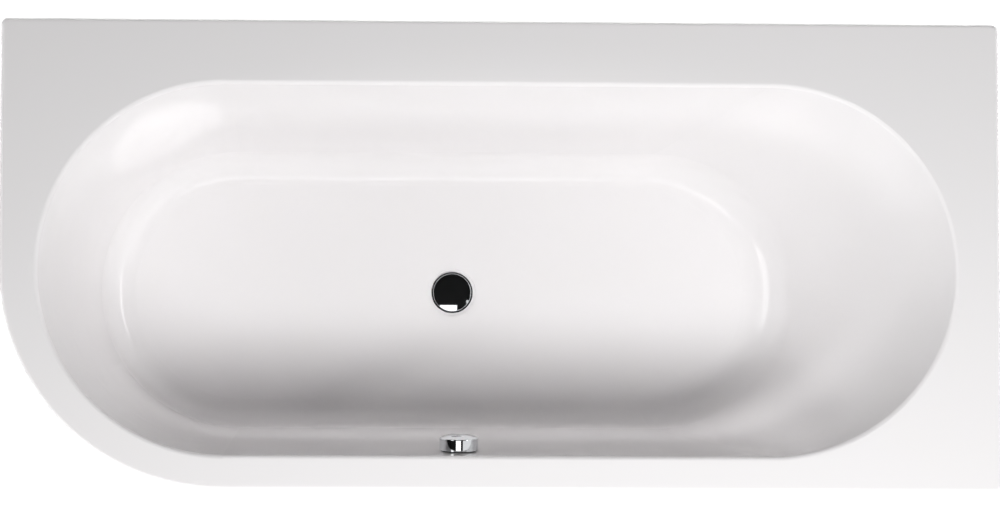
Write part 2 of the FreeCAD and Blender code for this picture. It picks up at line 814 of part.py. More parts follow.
def hex_nut(name, flats, height, bore):
    """Hexagonal nut, standing on its own origin."""
    prism = primitive("Prism", f"{name}_prism", {"Circumradius": f"{flats} / sqrt(3)", "Height": height})
    prism.Polygon = 6
    return difference(name, prism, cylinder(f"{name}_bore", bore, height))


def make_legs():
    """Four threaded studs in moulded feet, each held to its rail between two nuts."""
    radius = "Sizes.stud_diameter / 2"
    top = "Derived.stud_top"
    foot, neck = "Sizes.foot_diameter / 2", "Sizes.foot_neck / 2"
    socket = f"{radius} + Sizes.stud_clearance"
    web_top = "Derived.board_level"
    nut_levels = {"upper": web_top, "lower": f"{web_top} - Sizes.rail_sheet - Sizes.leg_nut_height"}
    nuts = []
    for name, (x, y) in leg_places().items():
        stud = new_body(f"leg_stud_{name}", lambda target, x=x, y=y: put(target, x, y, "0"))
        turned(stud, "rod", (("0", "Sizes.stud_seat"), (radius, "Sizes.stud_seat"),
                             (radius, f"{top} - Sizes.stud_tip"), (f"{radius} - Sizes.stud_tip", top),
                             ("0", top)))
        pad_body = new_body(f"foot_pad_{name}", lambda target, x=x, y=y: put(target, x, y, "0"))
        turned(pad_body, "disc", (("0", "0"), (f"{foot} - Sizes.foot_edge", "0"), (foot, "Sizes.foot_edge"),
                                  (foot, "Sizes.foot_disc"), (neck, "Sizes.foot_height"),
                                  (socket, "Sizes.foot_height"), (socket, "Sizes.stud_seat"),
                                  ("0", "Sizes.stud_seat")))
        for level, z in nut_levels.items():
            nut = hex_nut(f"leg_nut_{name}_{level}", "Sizes.leg_nut_flats", "Sizes.leg_nut_height",
                          "Sizes.stud_diameter + 2 * Sizes.stud_clearance")
            nuts.append(put(nut, x, y, z))
    group("leg_nuts", nuts)


# Pop-up waste

def make_waste_flange():
    """Plated flange in the floor's dish: the seat for the plug and the sleeve that clamps the waste body."""
    flange, seat = "Sizes.waste_flange_diameter / 2", "Sizes.seat_diameter / 2"
    sleeve, bore = "Sizes.sleeve_diameter / 2", "Sizes.sleeve_bore / 2"
    body = new_body("waste_flange", at_drain)
    turned(body, "flange", (
        (bore, "Derived.sleeve_end"), (sleeve, "Derived.sleeve_end"),
        (sleeve, "-Sizes.dish_depth"), (flange, "-Sizes.dish_depth"),
        (flange, "Sizes.waste_flange_rise - Sizes.waste_flange_edge"),
        (f"{flange} - Sizes.waste_flange_edge", "Sizes.waste_flange_rise"),
        (f"{seat} + Sizes.waste_flange_edge", "Sizes.waste_flange_rise"),
        (seat, "-Sizes.seat_drop"), (bore, "-Sizes.seat_drop")))


def make_plug():
    """Domed plug with its carrier, seal, adjusting stem and lock nut."""
    cap, edge = "Sizes.plug_diameter / 2", "Derived.cap_level + Sizes.plug_edge"
    body = new_body("plug_cap", at_drain)
    turned(body, "dome", (("0", "Derived.cap_level"), (cap, "Derived.cap_level"), (cap, edge),
                          ("0", f"{edge} + Sizes.plug_crown")), dome=2)
    rounded(body, "edge", lambda item: at_height(measure(edge), item), "Sizes.plug_round")

    carrier = "Sizes.carrier_diameter / 2"
    carrier_end = "Derived.cap_level - Sizes.carrier_height"
    stem = "Sizes.stem_diameter / 2"
    socket, socket_top = f"{stem} + Sizes.fit_gap", f"{carrier_end} + Sizes.stem_socket"
    body = new_body("plug_carrier", at_drain)
    turned(body, "disc", ((socket, carrier_end), (carrier, carrier_end), (carrier, "Derived.cap_level"),
                          ("0", "Derived.cap_level"), ("0", socket_top), (socket, socket_top)))

    ring("plug_seal", at_drain, f"{carrier} + Sizes.fit_gap", "Sizes.seal_diameter / 2",
         "-Sizes.seat_drop + Sizes.seal_lift", "Derived.cap_level")

    stem_top = f"{socket_top} - Sizes.fit_gap"
    body = new_body("plug_stem", at_drain)
    point = "Sizes.stem_point / 2"
    turned(body, "rod", (("0", "Derived.stem_end"), (point, "Derived.stem_end"),
                         (stem, f"Derived.stem_end + {stem} - {point}"), (stem, stem_top), ("0", stem_top)))

    nut = hex_nut("stem_nut", "Sizes.stem_nut_flats", "Sizes.stem_nut_height",
                  "Sizes.stem_diameter + 2 * Sizes.fit_gap")
    level = f"Derived.floor_level + {carrier_end} - Sizes.stem_nut_height"
    node(put(nut, "Derived.drain_x", "Derived.drain_y", level), "stem_nut")


def make_stem_guide():
    """Spider in the foot of the sleeve: a hub on three ribs that keeps the stem upright."""
    outer = "Sizes.sleeve_bore / 2 - Sizes.fit_gap"
    inner = f"{outer} - Sizes.guide_wall"
    low, high = "Derived.sleeve_end", "Derived.sleeve_end + Sizes.guide_height"
    body = new_body("stem_guide", at_drain)
    hub = "Sizes.guide_hub / 2"
    turned(body, "hub", (("0", low), (hub, low), (hub, high), ("0", high)))
    half = "Sizes.guide_rib / 2"
    middle = f"{outer} - Sizes.guide_wall / 2"
    rib = outline(new_sketch(body, "rib_outline", height=low),
                  (("0", f"-{half}"), (middle, f"-{half}"), (middle, half), ("0", half)))
    repeated(body, "ribs", pad(body, "rib", rib, "Sizes.guide_height"), 3)
    turned(body, "rim", ((inner, low), (outer, low), (outer, high), (inner, high)))
    hole = new_sketch(body, "stem_hole", height=low)
    circles(hole, (("0", "0"),), "Sizes.stem_diameter + 2 * Sizes.fit_gap")
    pocket(body, "stem_cut", hole, "Sizes.guide_height", along=True)


def socket_arm(body, axis_height, along, reach):
    """Solid arm that takes one end of the overflow pipe."""
    sketch = new_sketch(body, "arm_outline", "XZ_Plane")
    circles(sketch, (("0", axis_height),), "Sizes.socket_diameter")
    pad(body, "arm", sketch, reach, along=along)


def cable_lug(body, axis_height, along, reach):
    """Moulded lug beside an arm for the end of the pull cable; returns the lug's end along the arm."""
    half = "Sizes.cable_boss / 2"
    end = f"({reach} - Sizes.slip_nut_length)"
    side = f"Sizes.cable_offset + {half}"
    low, high = f"{axis_height} - {half}", f"{axis_height} + {half}"
    start = lug_height(along, f"{end} - Sizes.cable_boss_length")
    block = new_sketch(body, "lug_outline", "XZ_Plane", start)
    outline(block, (("0", low), (side, low), (side, high), ("0", high)))
    pad(body, "lug", block, "Sizes.cable_boss_length", along=along)
    return end


def lug_height(along, distance):
    """Offset of a sketch along its plane's normal, for a feature that runs along or against the normal."""
    return distance if along else f"-({distance})"


def arm_bores(body, axis_height, along, reach, lug_end):
    """Bore, pipe socket and cable hole of an arm."""
    bore = circles(new_sketch(body, "arm_bore", "XZ_Plane"), (("0", axis_height),), "Sizes.inlet_bore")
    pocket(body, "arm_cut", bore, f"{reach} + Sizes.overrun", along=along)
    socket = new_sketch(body, "arm_socket", "XZ_Plane", lug_height(along, f"{reach} - Sizes.socket_depth"))
    circles(socket, (("0", axis_height),), "Sizes.pipe_diameter + 2 * Sizes.fit_gap")
    pocket(body, "socket_cut", socket, "Sizes.socket_depth + Sizes.overrun", along=along)
    hole_start = lug_height(along, f"{lug_end} - Sizes.cable_insertion")
    hole = new_sketch(body, "cable_hole", "XZ_Plane", hole_start)
    circles(hole, (("Sizes.cable_offset", axis_height),), "Sizes.cable_diameter + 2 * Sizes.fit_gap")
    pocket(body, "cable_cut", hole, "Sizes.cable_insertion + Sizes.overrun", along=along)


def make_waste_body():
    """Moulded waste body: clamp flange, sleeve bore, lever chamber, overflow arm and threaded outlet."""
    top, bottom = "Derived.waste_body_top", "-Sizes.barrel_depth"
    flange_low = f"{top} - Sizes.waste_body_flange_height"
    shoulder = f"{flange_low} - Sizes.barrel_upper_length"
    upper, lower, flange = "Sizes.barrel_upper / 2", "Sizes.barrel_lower / 2", "Sizes.waste_body_flange / 2"
    body = new_body("waste_body", at_drain)
    turned(body, "barrel", (("0", bottom), (lower, bottom), (lower, shoulder), (upper, shoulder),
                            (upper, flange_low), (flange, flange_low), (flange, top), ("0", top)))
    axis_height = "-Sizes.inlet_drop"
    socket_arm(body, axis_height, True, "Sizes.inlet_reach")
    lug_end = cable_lug(body, axis_height, True, "Sizes.inlet_reach")
    bore, sleeve = "Sizes.barrel_bore / 2", "Sizes.sleeve_diameter / 2 + Sizes.fit_gap"
    bored(body, "chamber", (("0", f"{bottom} - Sizes.overrun"), (bore, f"{bottom} - Sizes.overrun"),
                            (bore, "Derived.sleeve_end"), (sleeve, "Derived.sleeve_end"),
                            (sleeve, f"{top} + Sizes.overrun"), ("0", f"{top} + Sizes.overrun")))
    arm_bores(body, axis_height, True, "Sizes.inlet_reach", lug_end)
    pin = circles(new_sketch(body, "pin_hole", "YZ_Plane"), (("-Sizes.lever_reach", axis_height),),
                  "Sizes.pin_diameter + 2 * Sizes.pin_clearance")
    pocket(body, "pin_cut", pin, "Sizes.pin_length", both=True)


def make_lever():
    """Lift lever under the stem, on a pin across the overflow arm."""
    pivot_y, pivot_z = "Derived.drain_y - Sizes.lever_reach", "Derived.floor_level - Sizes.inlet_drop"
    body = new_body("lift_lever", lambda target: put(target, "Derived.drain_x", pivot_y, pivot_z,
                                                     -X_AXIS, "Derived.lever_tilt"))
    arm = new_sketch(body, "arm_outline", "YZ_Plane")
    stadium(arm, "-Sizes.lever_tail", "Sizes.lever_reach", "0", "Sizes.lever_height / 2")
    pad(body, "arm", arm, "Sizes.lever_width", both=True)
    hub = circles(new_sketch(body, "hub_outline", "YZ_Plane"), (("0", "0"),), "Sizes.lever_hub")
    pad(body, "hub", hub, "Sizes.lever_width", both=True)
    bore = circles(new_sketch(body, "pin_bore", "YZ_Plane"), (("0", "0"),),
                   "Sizes.pin_diameter + 2 * Sizes.pin_clearance")
    pocket(body, "pin_cut", bore, "Sizes.lever_width + Sizes.overrun", both=True)
    eye = new_sketch(body, "cable_eye", "YZ_Plane")
    circles(eye, (("-Sizes.lever_tail", "0"),), "Sizes.lever_eye")
    pocket(body, "eye_cut", eye, "Sizes.lever_width + Sizes.overrun", both=True)

    pin = cylinder("lever_pin", "Sizes.pin_diameter", "Sizes.pin_length")
    put(pin, "Derived.drain_x - Sizes.pin_length / 2", pivot_y, pivot_z, Y_AXIS, "90 deg")
    node(pin, "lever_pin")


def grips(body, radius, low, length, count):
    """Finger grips round a screwed piece."""
    half = "Sizes.grip_width / 2"
    rise = f"{radius} + Sizes.grip_rise"
    root = f"{radius} - Sizes.grip_rise"
    sketch = outline(new_sketch(body, "grip_outline", height=low),
                     ((root, f"-{half}"), (rise, f"-{half}"), (rise, half), (root, half)))
    repeated(body, "grips", pad(body, "grip", sketch, length), count)


def make_trap():
    """Flat bowl trap with a dip tube, its slip nut and washer, and the screwed cleaning cup."""
    lower, bore = "Sizes.barrel_lower / 2", "Sizes.trap_tube_bore / 2"
    ring("trap_washer", at_drain, bore, lower, "Derived.trap_top", "-Sizes.barrel_depth")

    tube, collar_low = "Sizes.trap_tube / 2", "Derived.trap_top - Sizes.trap_collar_height"
    nut, inside = "Sizes.trap_nut_diameter / 2", f"{lower} + Sizes.fit_gap"
    nut_top, nut_low = "Sizes.trap_nut_cover - Sizes.barrel_depth", f"{collar_low} - Sizes.trap_nut_lip"
    body = new_body("trap_nut", at_drain)
    turned(body, "nut", ((inside, nut_top), (inside, collar_low), (f"{tube} + Sizes.fit_gap", collar_low),
                         (f"{tube} + Sizes.fit_gap", nut_low), (nut, nut_low), (nut, nut_top)))
    grips(body, nut, nut_low, f"{nut_top} - ({nut_low})", 8)

    bowl, bowl_inside = "Sizes.bowl_diameter / 2", "(Sizes.bowl_diameter / 2 - Sizes.bowl_wall)"
    roof, dip_end = "Derived.bowl_top - Sizes.bowl_wall", "Derived.bowl_top - Sizes.dip_depth"
    body = new_body("trap_body", at_drain)
    top, bowl_top, bowl_end = "Derived.trap_top", "Derived.bowl_top", "Derived.bowl_end"
    turned(body, "bowl", (
        (bore, dip_end), (tube, dip_end), (tube, roof), (bowl_inside, roof), (bowl_inside, bowl_end),
        (bowl, bowl_end), (bowl, bowl_top), (tube, bowl_top), (tube, collar_low),
        (lower, collar_low), (lower, top), (bore, top)))
    outlet_centre = (("0", f"{bowl_top} - Sizes.outlet_drop"),)
    outlet = circles(new_sketch(body, "outlet_outline", "XZ_Plane"), outlet_centre, "Sizes.outlet_diameter")
    pad(body, "outlet", outlet, "Sizes.outlet_reach", along=False)
    boss = circles(new_sketch(body, "outlet_boss", "XZ_Plane"), outlet_centre, "Sizes.outlet_boss")
    pad(body, "boss", boss, f"{bowl} + Sizes.outlet_boss_length", along=False)
    bored(body, "bowl_cut", ((tube, dip_end), (bowl_inside, dip_end), (bowl_inside, roof), (tube, roof)))
    bored(body, "dip_cut", (("0", dip_end), (bore, dip_end), (bore, top), ("0", top)))
    passage = new_sketch(body, "outlet_passage", "XZ_Plane", f"-({tube} + {bowl_inside}) / 2")
    circles(passage, outlet_centre, "Sizes.outlet_bore")
    pocket(body, "outlet_cut", passage, "Sizes.outlet_reach")

    cup, inside = "Sizes.cup_diameter / 2", f"{bowl} + Sizes.fit_gap"
    low = "Derived.bowl_end - Sizes.cup_floor"
    high = f"{low} + Sizes.cup_height"
    body = new_body("trap_cup", at_drain)
    turned(body, "cup", (("0", low), (cup, low), (cup, high), (inside, high), (inside, "Derived.bowl_end"),
                         ("0", "Derived.bowl_end")))
    grips(body, cup, low, "Sizes.cup_height", 12)


# Overflow with its turning knob

def make_overflow_face():
    """Face ring inside the tub: inlet ports, two screws and the bearing of the knob's spindle."""
    bearing = "Sizes.spindle_diameter / 2 + Sizes.spindle_clearance"
    face, hub = "Sizes.face_diameter / 2", "Sizes.face_hub / 2"
    hub_top = "Sizes.face_height + Sizes.face_hub_height"
    body = new_body("overflow_face", on_wall)
    turned(body, "face", ((bearing, "0"), (face, "0"), (face, "Sizes.face_height"),
                          (hub, "Sizes.face_height"), (hub, hub_top), (bearing, hub_top)))
    across = "Sizes.face_port_circle / 2 * cos(Sizes.face_port_turn)"
    aside = "Sizes.face_port_circle / 2 * sin(Sizes.face_port_turn)"
    centres = [(f"{side}{across}", f"{level}{aside}") for side in ("", "-") for level in ("", "-")]
    pocket(body, "ports", circles(new_sketch(body, "port_outline"), centres, "Sizes.face_port"),
           "Sizes.face_height", along=True)
    holes = circles(new_sketch(body, "screw_holes"), screw_pair(), "Sizes.face_screw + 2 * Sizes.fit_gap")
    pocket(body, "screw_cut", holes, "Sizes.face_height", along=True)


def screw_pair():
    """Places of the two screws that draw the overflow body to the wall."""
    return (("Sizes.pillar_circle / 2", "0"), ("-Sizes.pillar_circle / 2", "0"))


def make_face_screws():
    """Two pan-head screws from the face ring into the overflow body."""
    screws = []
    for number, (x, y) in enumerate(screw_pair()):
        body = new_body(f"face_screw_{number}", on_wall, piece=False)
        end = "Sizes.face_height - Sizes.face_screw_length"
        shank = circles(new_sketch(body, "shank_outline", height=end), ((x, y),), "Sizes.face_screw")
        pad(body, "shank", shank, "Sizes.face_screw_length")
        head = new_sketch(body, "head_outline", height="Sizes.face_height")
        circles(head, ((x, y),), "Sizes.face_screw_head")
        pad(body, "head", head, "Sizes.face_screw_head_height")
        screws.append(body)
    group("face_screws", screws)


def make_overflow_body():
    """Moulded chamber behind the wall, with screw pillars and the arm that takes the pipe."""
    top, end = "Derived.overflow_body_top", "Derived.chamber_end"
    chamber, inside = "Sizes.chamber_diameter / 2", "Sizes.chamber_diameter / 2 - Sizes.chamber_wall"
    flange, flange_low = "Sizes.overflow_flange / 2", f"{top} - Sizes.overflow_flange_height"
    back = f"{end} - Sizes.chamber_wall"
    body = new_body("overflow_body", on_wall)
    turned(body, "casing", (("0", back), (chamber, back), (chamber, flange_low), (flange, flange_low),
                            (flange, top), ("0", top)))
    axis_height = "Derived.outlet_axis"
    socket_arm(body, axis_height, False, "Sizes.outlet_arm")
    lug_end = cable_lug(body, axis_height, False, "Sizes.outlet_arm")
    bored(body, "chamber", (("0", end), (inside, end), (inside, f"{top} + Sizes.overrun"),
                            ("0", f"{top} + Sizes.overrun")))
    arm_bores(body, axis_height, False, "Sizes.outlet_arm", lug_end)
    pillars = circles(new_sketch(body, "pillar_outline", height=end), screw_pair(), "Sizes.pillar_diameter")
    pad(body, "pillars", pillars, "Sizes.chamber_depth - Sizes.pillar_recess")
    tip = "Sizes.face_height - Sizes.face_screw_length - Sizes.fit_gap"
    holes = new_sketch(body, "pillar_holes", height=tip)
    circles(holes, screw_pair(), "Sizes.face_screw + 2 * Sizes.fit_gap")
    pocket(body, "pillar_cut", holes, "Sizes.face_screw_length", along=True)


def make_knob():
    """Domed turning knob, its spindle with the cable pulley, and the grub screw that pins the two."""
    knob, wall = "Sizes.knob_diameter / 2", "Sizes.knob_diameter / 2 - Sizes.knob_wall"
    boss, bore = "Sizes.knob_boss / 2", "Sizes.spindle_diameter / 2 + Sizes.spindle_clearance"
    back = "Sizes.knob_stand_off"
    edge = f"{back} + Sizes.knob_length"
    roof = f"{edge} - Sizes.knob_roof"
    boss_low = f"{roof} - Sizes.knob_boss_height"
    grip_top = f"{boss_low} + Sizes.spindle_grip"
    body = new_body("overflow_knob", on_wall)
    turned(body, "cap", (
        (wall, back), (knob, back), (knob, edge), ("0", f"{edge} + Sizes.knob_crown"), ("0", grip_top),
        (bore, grip_top), (bore, boss_low), (boss, boss_low), (boss, roof), (wall, roof)), dome=2)
    rounded(body, "edge", lambda item: at_height(measure(edge), item), "Sizes.knob_round")
    grub_height = f"{roof} - Sizes.knob_boss_height / 2"
    hole = circles(new_sketch(body, "grub_hole", "XZ_Plane"), (("0", grub_height),),
                   "Sizes.grub_diameter + 2 * Sizes.fit_gap")
    pocket(body, "grub_cut", hole, f"{knob} + Sizes.overrun")

    pulley, rod = "Sizes.pulley_diameter / 2", "Sizes.spindle_diameter / 2"
    low = "Derived.chamber_end + Sizes.pulley_back_gap"
    high = f"{low} + Sizes.pulley_height"
    middle = f"{low} + Sizes.pulley_height / 2"
    top = f"{grip_top} - Sizes.fit_gap"
    body = new_body("knob_spindle", on_wall)
    turned(body, "rod", (
        ("0", low), (pulley, low), (pulley, f"{middle} - Sizes.pulley_groove / 2"),
        (f"{pulley} - Sizes.pulley_groove", middle), (pulley, f"{middle} + Sizes.pulley_groove / 2"),
        (pulley, high), (rod, high), (rod, top), ("0", top)))

    body = new_body("knob_grub_screw", on_wall)
    start = f"-({boss} - Sizes.grub_length)"
    screw = new_sketch(body, "grub_outline", "XZ_Plane", start)
    circles(screw, (("0", grub_height),), "Sizes.grub_diameter")
    pad(body, "grub", screw, "Sizes.grub_length", along=False)


# Overflow pipe and pull cable

def run_path(body, side, start, end):
    """Path from the waste body's arm, round one bend and up along the wall to the overflow's arm."""
    lean = "Derived.wall_lean"
    bend = "Sizes.pipe_bend"
    low = "-Sizes.inlet_drop"
    first_y = f"-(Sizes.inlet_reach - {start})"
    down = f"(Sizes.outlet_arm - {end})"
    last_y = (f"Derived.overflow_y - Derived.drain_y + {down} * sin({lean})"
              f" + Derived.outlet_axis * cos({lean})")
    last_z = (f"Derived.overflow_z - Derived.floor_level - {down} * cos({lean})"
              f" + Derived.outlet_axis * sin({lean})")
    rise = f"(({last_z} - ({low}) - {bend} * (1 - sin({lean}))) / cos({lean}))"
    bend_y = f"{last_y} + {bend} * cos({lean}) + {rise} * sin({lean})"
    sketch = new_sketch(body, "path", "YZ_Plane", side)
    centre = vector(bend_y, f"{low} + {bend}")
    lean_angle = math.radians(measure(lean))
    circle = Part.Circle(centre, Z_AXIS, measure(bend))
    arc = Part.ArcOfCircle(circle, math.pi + lean_angle, 3 * math.pi / 2)
    sketch.addGeometry(Part.LineSegment(vector(first_y, low), arc.EndPoint))
    sketch.addGeometry(arc)
    sketch.addGeometry(Part.LineSegment(arc.StartPoint, vector(last_y, last_z)))
    sketch.addConstraint(Sketcher.Constraint("Tangent", 0, 2, 1, 2))
    sketch.addConstraint(Sketcher.Constraint("Tangent", 1, 1, 2, 1))
    sketch.addConstraint(Sketcher.Constraint("Horizontal", 0))
    hold(sketch, 0, 1, first_y, low)
    hold(sketch, 2, 2, last_y, last_z)
    dimension(sketch, bend, "Radius", 1)
    return sketch


def swept(label, side, insertion, diameters):
    """Round run swept along the path, solid or with a bore."""
    body = new_body(label, at_drain)
    path = run_path(body, side, insertion[0], insertion[1])
    section = new_sketch(body, "section", "XZ_Plane", f"Sizes.inlet_reach - {insertion[0]}")
    for diameter in diameters:
        circles(section, ((side, "-Sizes.inlet_drop"),), diameter)
    feature = add(body, "AdditivePipe", "run", section)
    feature.Spine = (path, ["Edge1", "Edge2", "Edge3"])
    return body


def make_overflow_pipe():
    """Pipe from the overflow to the waste body, with a slip nut and a seal at each end."""
    swept("overflow_pipe", "0", ("Sizes.pipe_insertion", "Sizes.pipe_insertion"),
          ("Sizes.pipe_diameter", "Sizes.pipe_diameter - 2 * Sizes.pipe_wall"))
    pipe, socket = "Sizes.pipe_diameter / 2 + Sizes.fit_gap", "Sizes.socket_diameter / 2"
    nut, seal = "Sizes.slip_nut_diameter / 2", "Sizes.slip_seal_height"
    lip = f"{seal} + Sizes.slip_nut_lip"
    inside = f"{socket} + Sizes.fit_gap"
    start = f"{lip} - Sizes.slip_nut_length"
    nuts, seals = [], []
    for end, place in {"upper": on_pipe_run, "lower": on_inlet_run}.items():
        body = new_body(f"pipe_nut_{end}", lambda target, place=place: place(target, "0"), piece=False)
        turned(body, "nut", ((inside, start), (nut, start), (nut, lip), (pipe, lip),
                             (pipe, seal), (inside, seal)))
        nuts.append(body)
        seals.append(ring(f"pipe_seal_{end}", lambda target, place=place: place(target, "0"),
                          pipe, socket, "0", seal, piece=False))
    group("pipe_nuts", nuts)
    group("pipe_seals", seals)


def make_cable():
    """Sheathed pull cable beside the pipe, and the clips that hold it there."""
    inset = "(Sizes.slip_nut_length + Sizes.cable_insertion - Sizes.fit_gap)"
    swept("pull_cable", "Sizes.cable_offset", (inset, inset), ("Sizes.cable_diameter",))
    clips = []
    places = ((on_inlet_run, "Sizes.clip_from_arm"), (on_pipe_run, "Sizes.clip_from_arm"),
              (on_pipe_run, "(Sizes.clip_from_arm + Sizes.clip_spacing)"))
    side, length = "Sizes.cable_offset", "Sizes.clip_length"
    for number, (place, along) in enumerate(places):
        name = f"cable_clip_{number}"
        holes, rings = [], []
        for item in ("pipe", "cable"):
            bore = f"Sizes.{item}_diameter + 2 * Sizes.clip_gap"
            holes.append(cylinder(f"{name}_{item}_hole", bore, length))
            rings.append(cylinder(f"{name}_{item}_ring", f"{bore} + 2 * Sizes.clip_wall", length))
        bridge = primitive("Box", f"{name}_bridge",
                           {"Length": side, "Width": "2 * Sizes.clip_wall", "Height": length})
        put(bridge, "0", "-Sizes.clip_wall", "0")
        for solid in (holes[1], rings[1]):
            put(solid, side, "0", "0")
        clip = difference(name, union(f"{name}_outside", [*rings, bridge]), union(f"{name}_holes", holes))
        clips.append(place(clip, along))
    group("cable_clips", clips)


make_shell()
make_backing()
make_board()
make_battens()
make_rails()
make_rail_screws()
make_legs()
make_waste_flange()
ring("waste_gasket", at_drain, "Sizes.sleeve_diameter / 2 + Sizes.fit_gap", "Sizes.waste_body_flange / 2",
     "Derived.waste_body_top", "-Derived.stack")
make_plug()
make_stem_guide()
make_waste_body()
make_lever()
make_trap()
make_overflow_face()
make_face_screws()
ring("overflow_gasket", on_wall, "Sizes.overflow_hole / 2", "Sizes.overflow_flange / 2",
     "Derived.overflow_body_top", "-Derived.wall_stack")
make_overflow_body()
make_knob()
make_overflow_pipe()
make_cable()
doc.recompute()

for item in doc.Objects:
    if {"Invalid", "Error"} & set(item.State):
        raise RuntimeError(f"{item.Name} failed: {item.State}")
for item in nodes:
    if item.Shape.isNull() or not item.Shape.isValid():
        raise RuntimeError(f"{item.Label} has no valid shape")

os.makedirs("parts", exist_ok=True)
for item in nodes:
    item.Shape.exportStep(f"parts/{item.Label}.step")
    print(item.Label, len(item.Shape.Solids), round(item.Shape.Volume))
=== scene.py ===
"""Looks of the asymmetric bathtub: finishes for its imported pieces, finer meshes and a studio seen from above.

Metres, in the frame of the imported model: +X runs to the backrest, +Y to the wall behind, +Z up.
"""
import json
import logging
import math
from dataclasses import dataclass
from enum import Enum
from typing import Any

import bmesh
import bpy
from mathutils import Euler, Matrix, Vector


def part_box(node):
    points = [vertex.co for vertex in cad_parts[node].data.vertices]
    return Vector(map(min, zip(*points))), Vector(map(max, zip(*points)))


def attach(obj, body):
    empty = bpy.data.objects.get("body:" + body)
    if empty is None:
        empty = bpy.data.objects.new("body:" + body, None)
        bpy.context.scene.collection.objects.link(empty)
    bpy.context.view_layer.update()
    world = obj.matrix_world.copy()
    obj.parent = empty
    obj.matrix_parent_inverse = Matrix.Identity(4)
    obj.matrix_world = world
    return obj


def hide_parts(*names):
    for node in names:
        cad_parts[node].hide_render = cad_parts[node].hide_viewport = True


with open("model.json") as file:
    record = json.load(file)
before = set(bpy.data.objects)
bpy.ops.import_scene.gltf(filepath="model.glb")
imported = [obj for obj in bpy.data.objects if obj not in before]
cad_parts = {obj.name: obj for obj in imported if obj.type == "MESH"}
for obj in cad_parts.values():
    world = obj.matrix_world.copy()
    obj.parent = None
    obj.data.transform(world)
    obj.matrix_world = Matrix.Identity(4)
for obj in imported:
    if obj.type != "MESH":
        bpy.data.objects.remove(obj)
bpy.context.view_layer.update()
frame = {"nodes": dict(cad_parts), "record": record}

MM = 0.001
# A Wave texture of scale 1 repeats after this many units
WAVE_REPEAT = 2 * math.pi / 20
# Points of a mesh closer than this become one
WELD_MM = 0.002
# Faces that meet at a larger angle keep a sharp edge
SHARP_DEG = 35.0
# Samples that round an edge in a finish
EDGE_SAMPLES = 6
LEG_NAMES = ("front_foot_end", "back_foot_end", "front_head_end", "back_head_end")
# Axis of the waste, and the way down the leaning front wall: its run and its depth, in millimetres
DRAIN_AXIS = (-70.0, -26.0, 0.0)
WALL_LEAN = (0.0, 80.0, -410.0)
log = logging.getLogger("bathtub")

Colour = tuple[float, float, float, float]
Triple = tuple[float, float, float]
Profile = tuple[tuple[float, float], ...]
Mesh = bmesh.types.BMesh
Vert = bmesh.types.BMVert
Edge = bmesh.types.BMEdge
Tree = bpy.types.NodeTree
Socket = bpy.types.NodeSocket


class Slot(Enum):
    """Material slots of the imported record."""

    ACRYLIC = "acrylic"
    FIBREGLASS = "fibreglass"
    CHIPBOARD = "chipboard"
    BATTEN_TIMBER = "batten_timber"
    GALVANISED_STEEL = "galvanised_steel"
    LEG_STEEL = "leg_steel"
    FOOT_PLASTIC = "foot_plastic"
    CHROME = "chrome"
    BRASS = "brass"
    BLACK_PLASTIC = "black_plastic"
    WHITE_PLASTIC = "white_plastic"
    RUBBER = "rubber"
    CABLE_SHEATH = "cable_sheath"


class Reach(Enum):
    """Surfaces that a lamp shows on."""

    ALL = "all"
    MATT = "matt"
    GLOSS = "gloss"


def linear(code: str) -> Colour:
    """Turn an sRGB hex colour to linear.

    Args:
        code: Six hex digits.
    Returns:
        Linear red, green and blue, with full alpha.
    """
    shares = [int(code[start:start + 2], 16) / 255 for start in (0, 2, 4)]
    red, green, blue = (s / 12.92 if s <= 0.04045 else ((s + 0.055) / 1.055) ** 2.4 for s in shares)
    return red, green, blue, 1.0


def add(tree: Tree, kind: str, inputs: dict[str | int, Any] | None = None, **settings: Any) -> bpy.types.Node:
    """Add a shader node with its settings and links.

    Args:
        tree: Node tree that takes the node.
        kind: Type of the node, without its ShaderNode prefix.
        inputs: Sockets by name or number, each with a value or with the socket that feeds it.
        settings: Properties of the node itself.
    Returns:
        The new node.
    """
    node = tree.nodes.new(f"ShaderNode{kind}")
    for name, value in settings.items():
        setattr(node, name, value)
    for name, value in (inputs or {}).items():
        if isinstance(value, Socket):
            tree.links.new(value, node.inputs[name])
        else:
            node.inputs[name].default_value = value
    return node


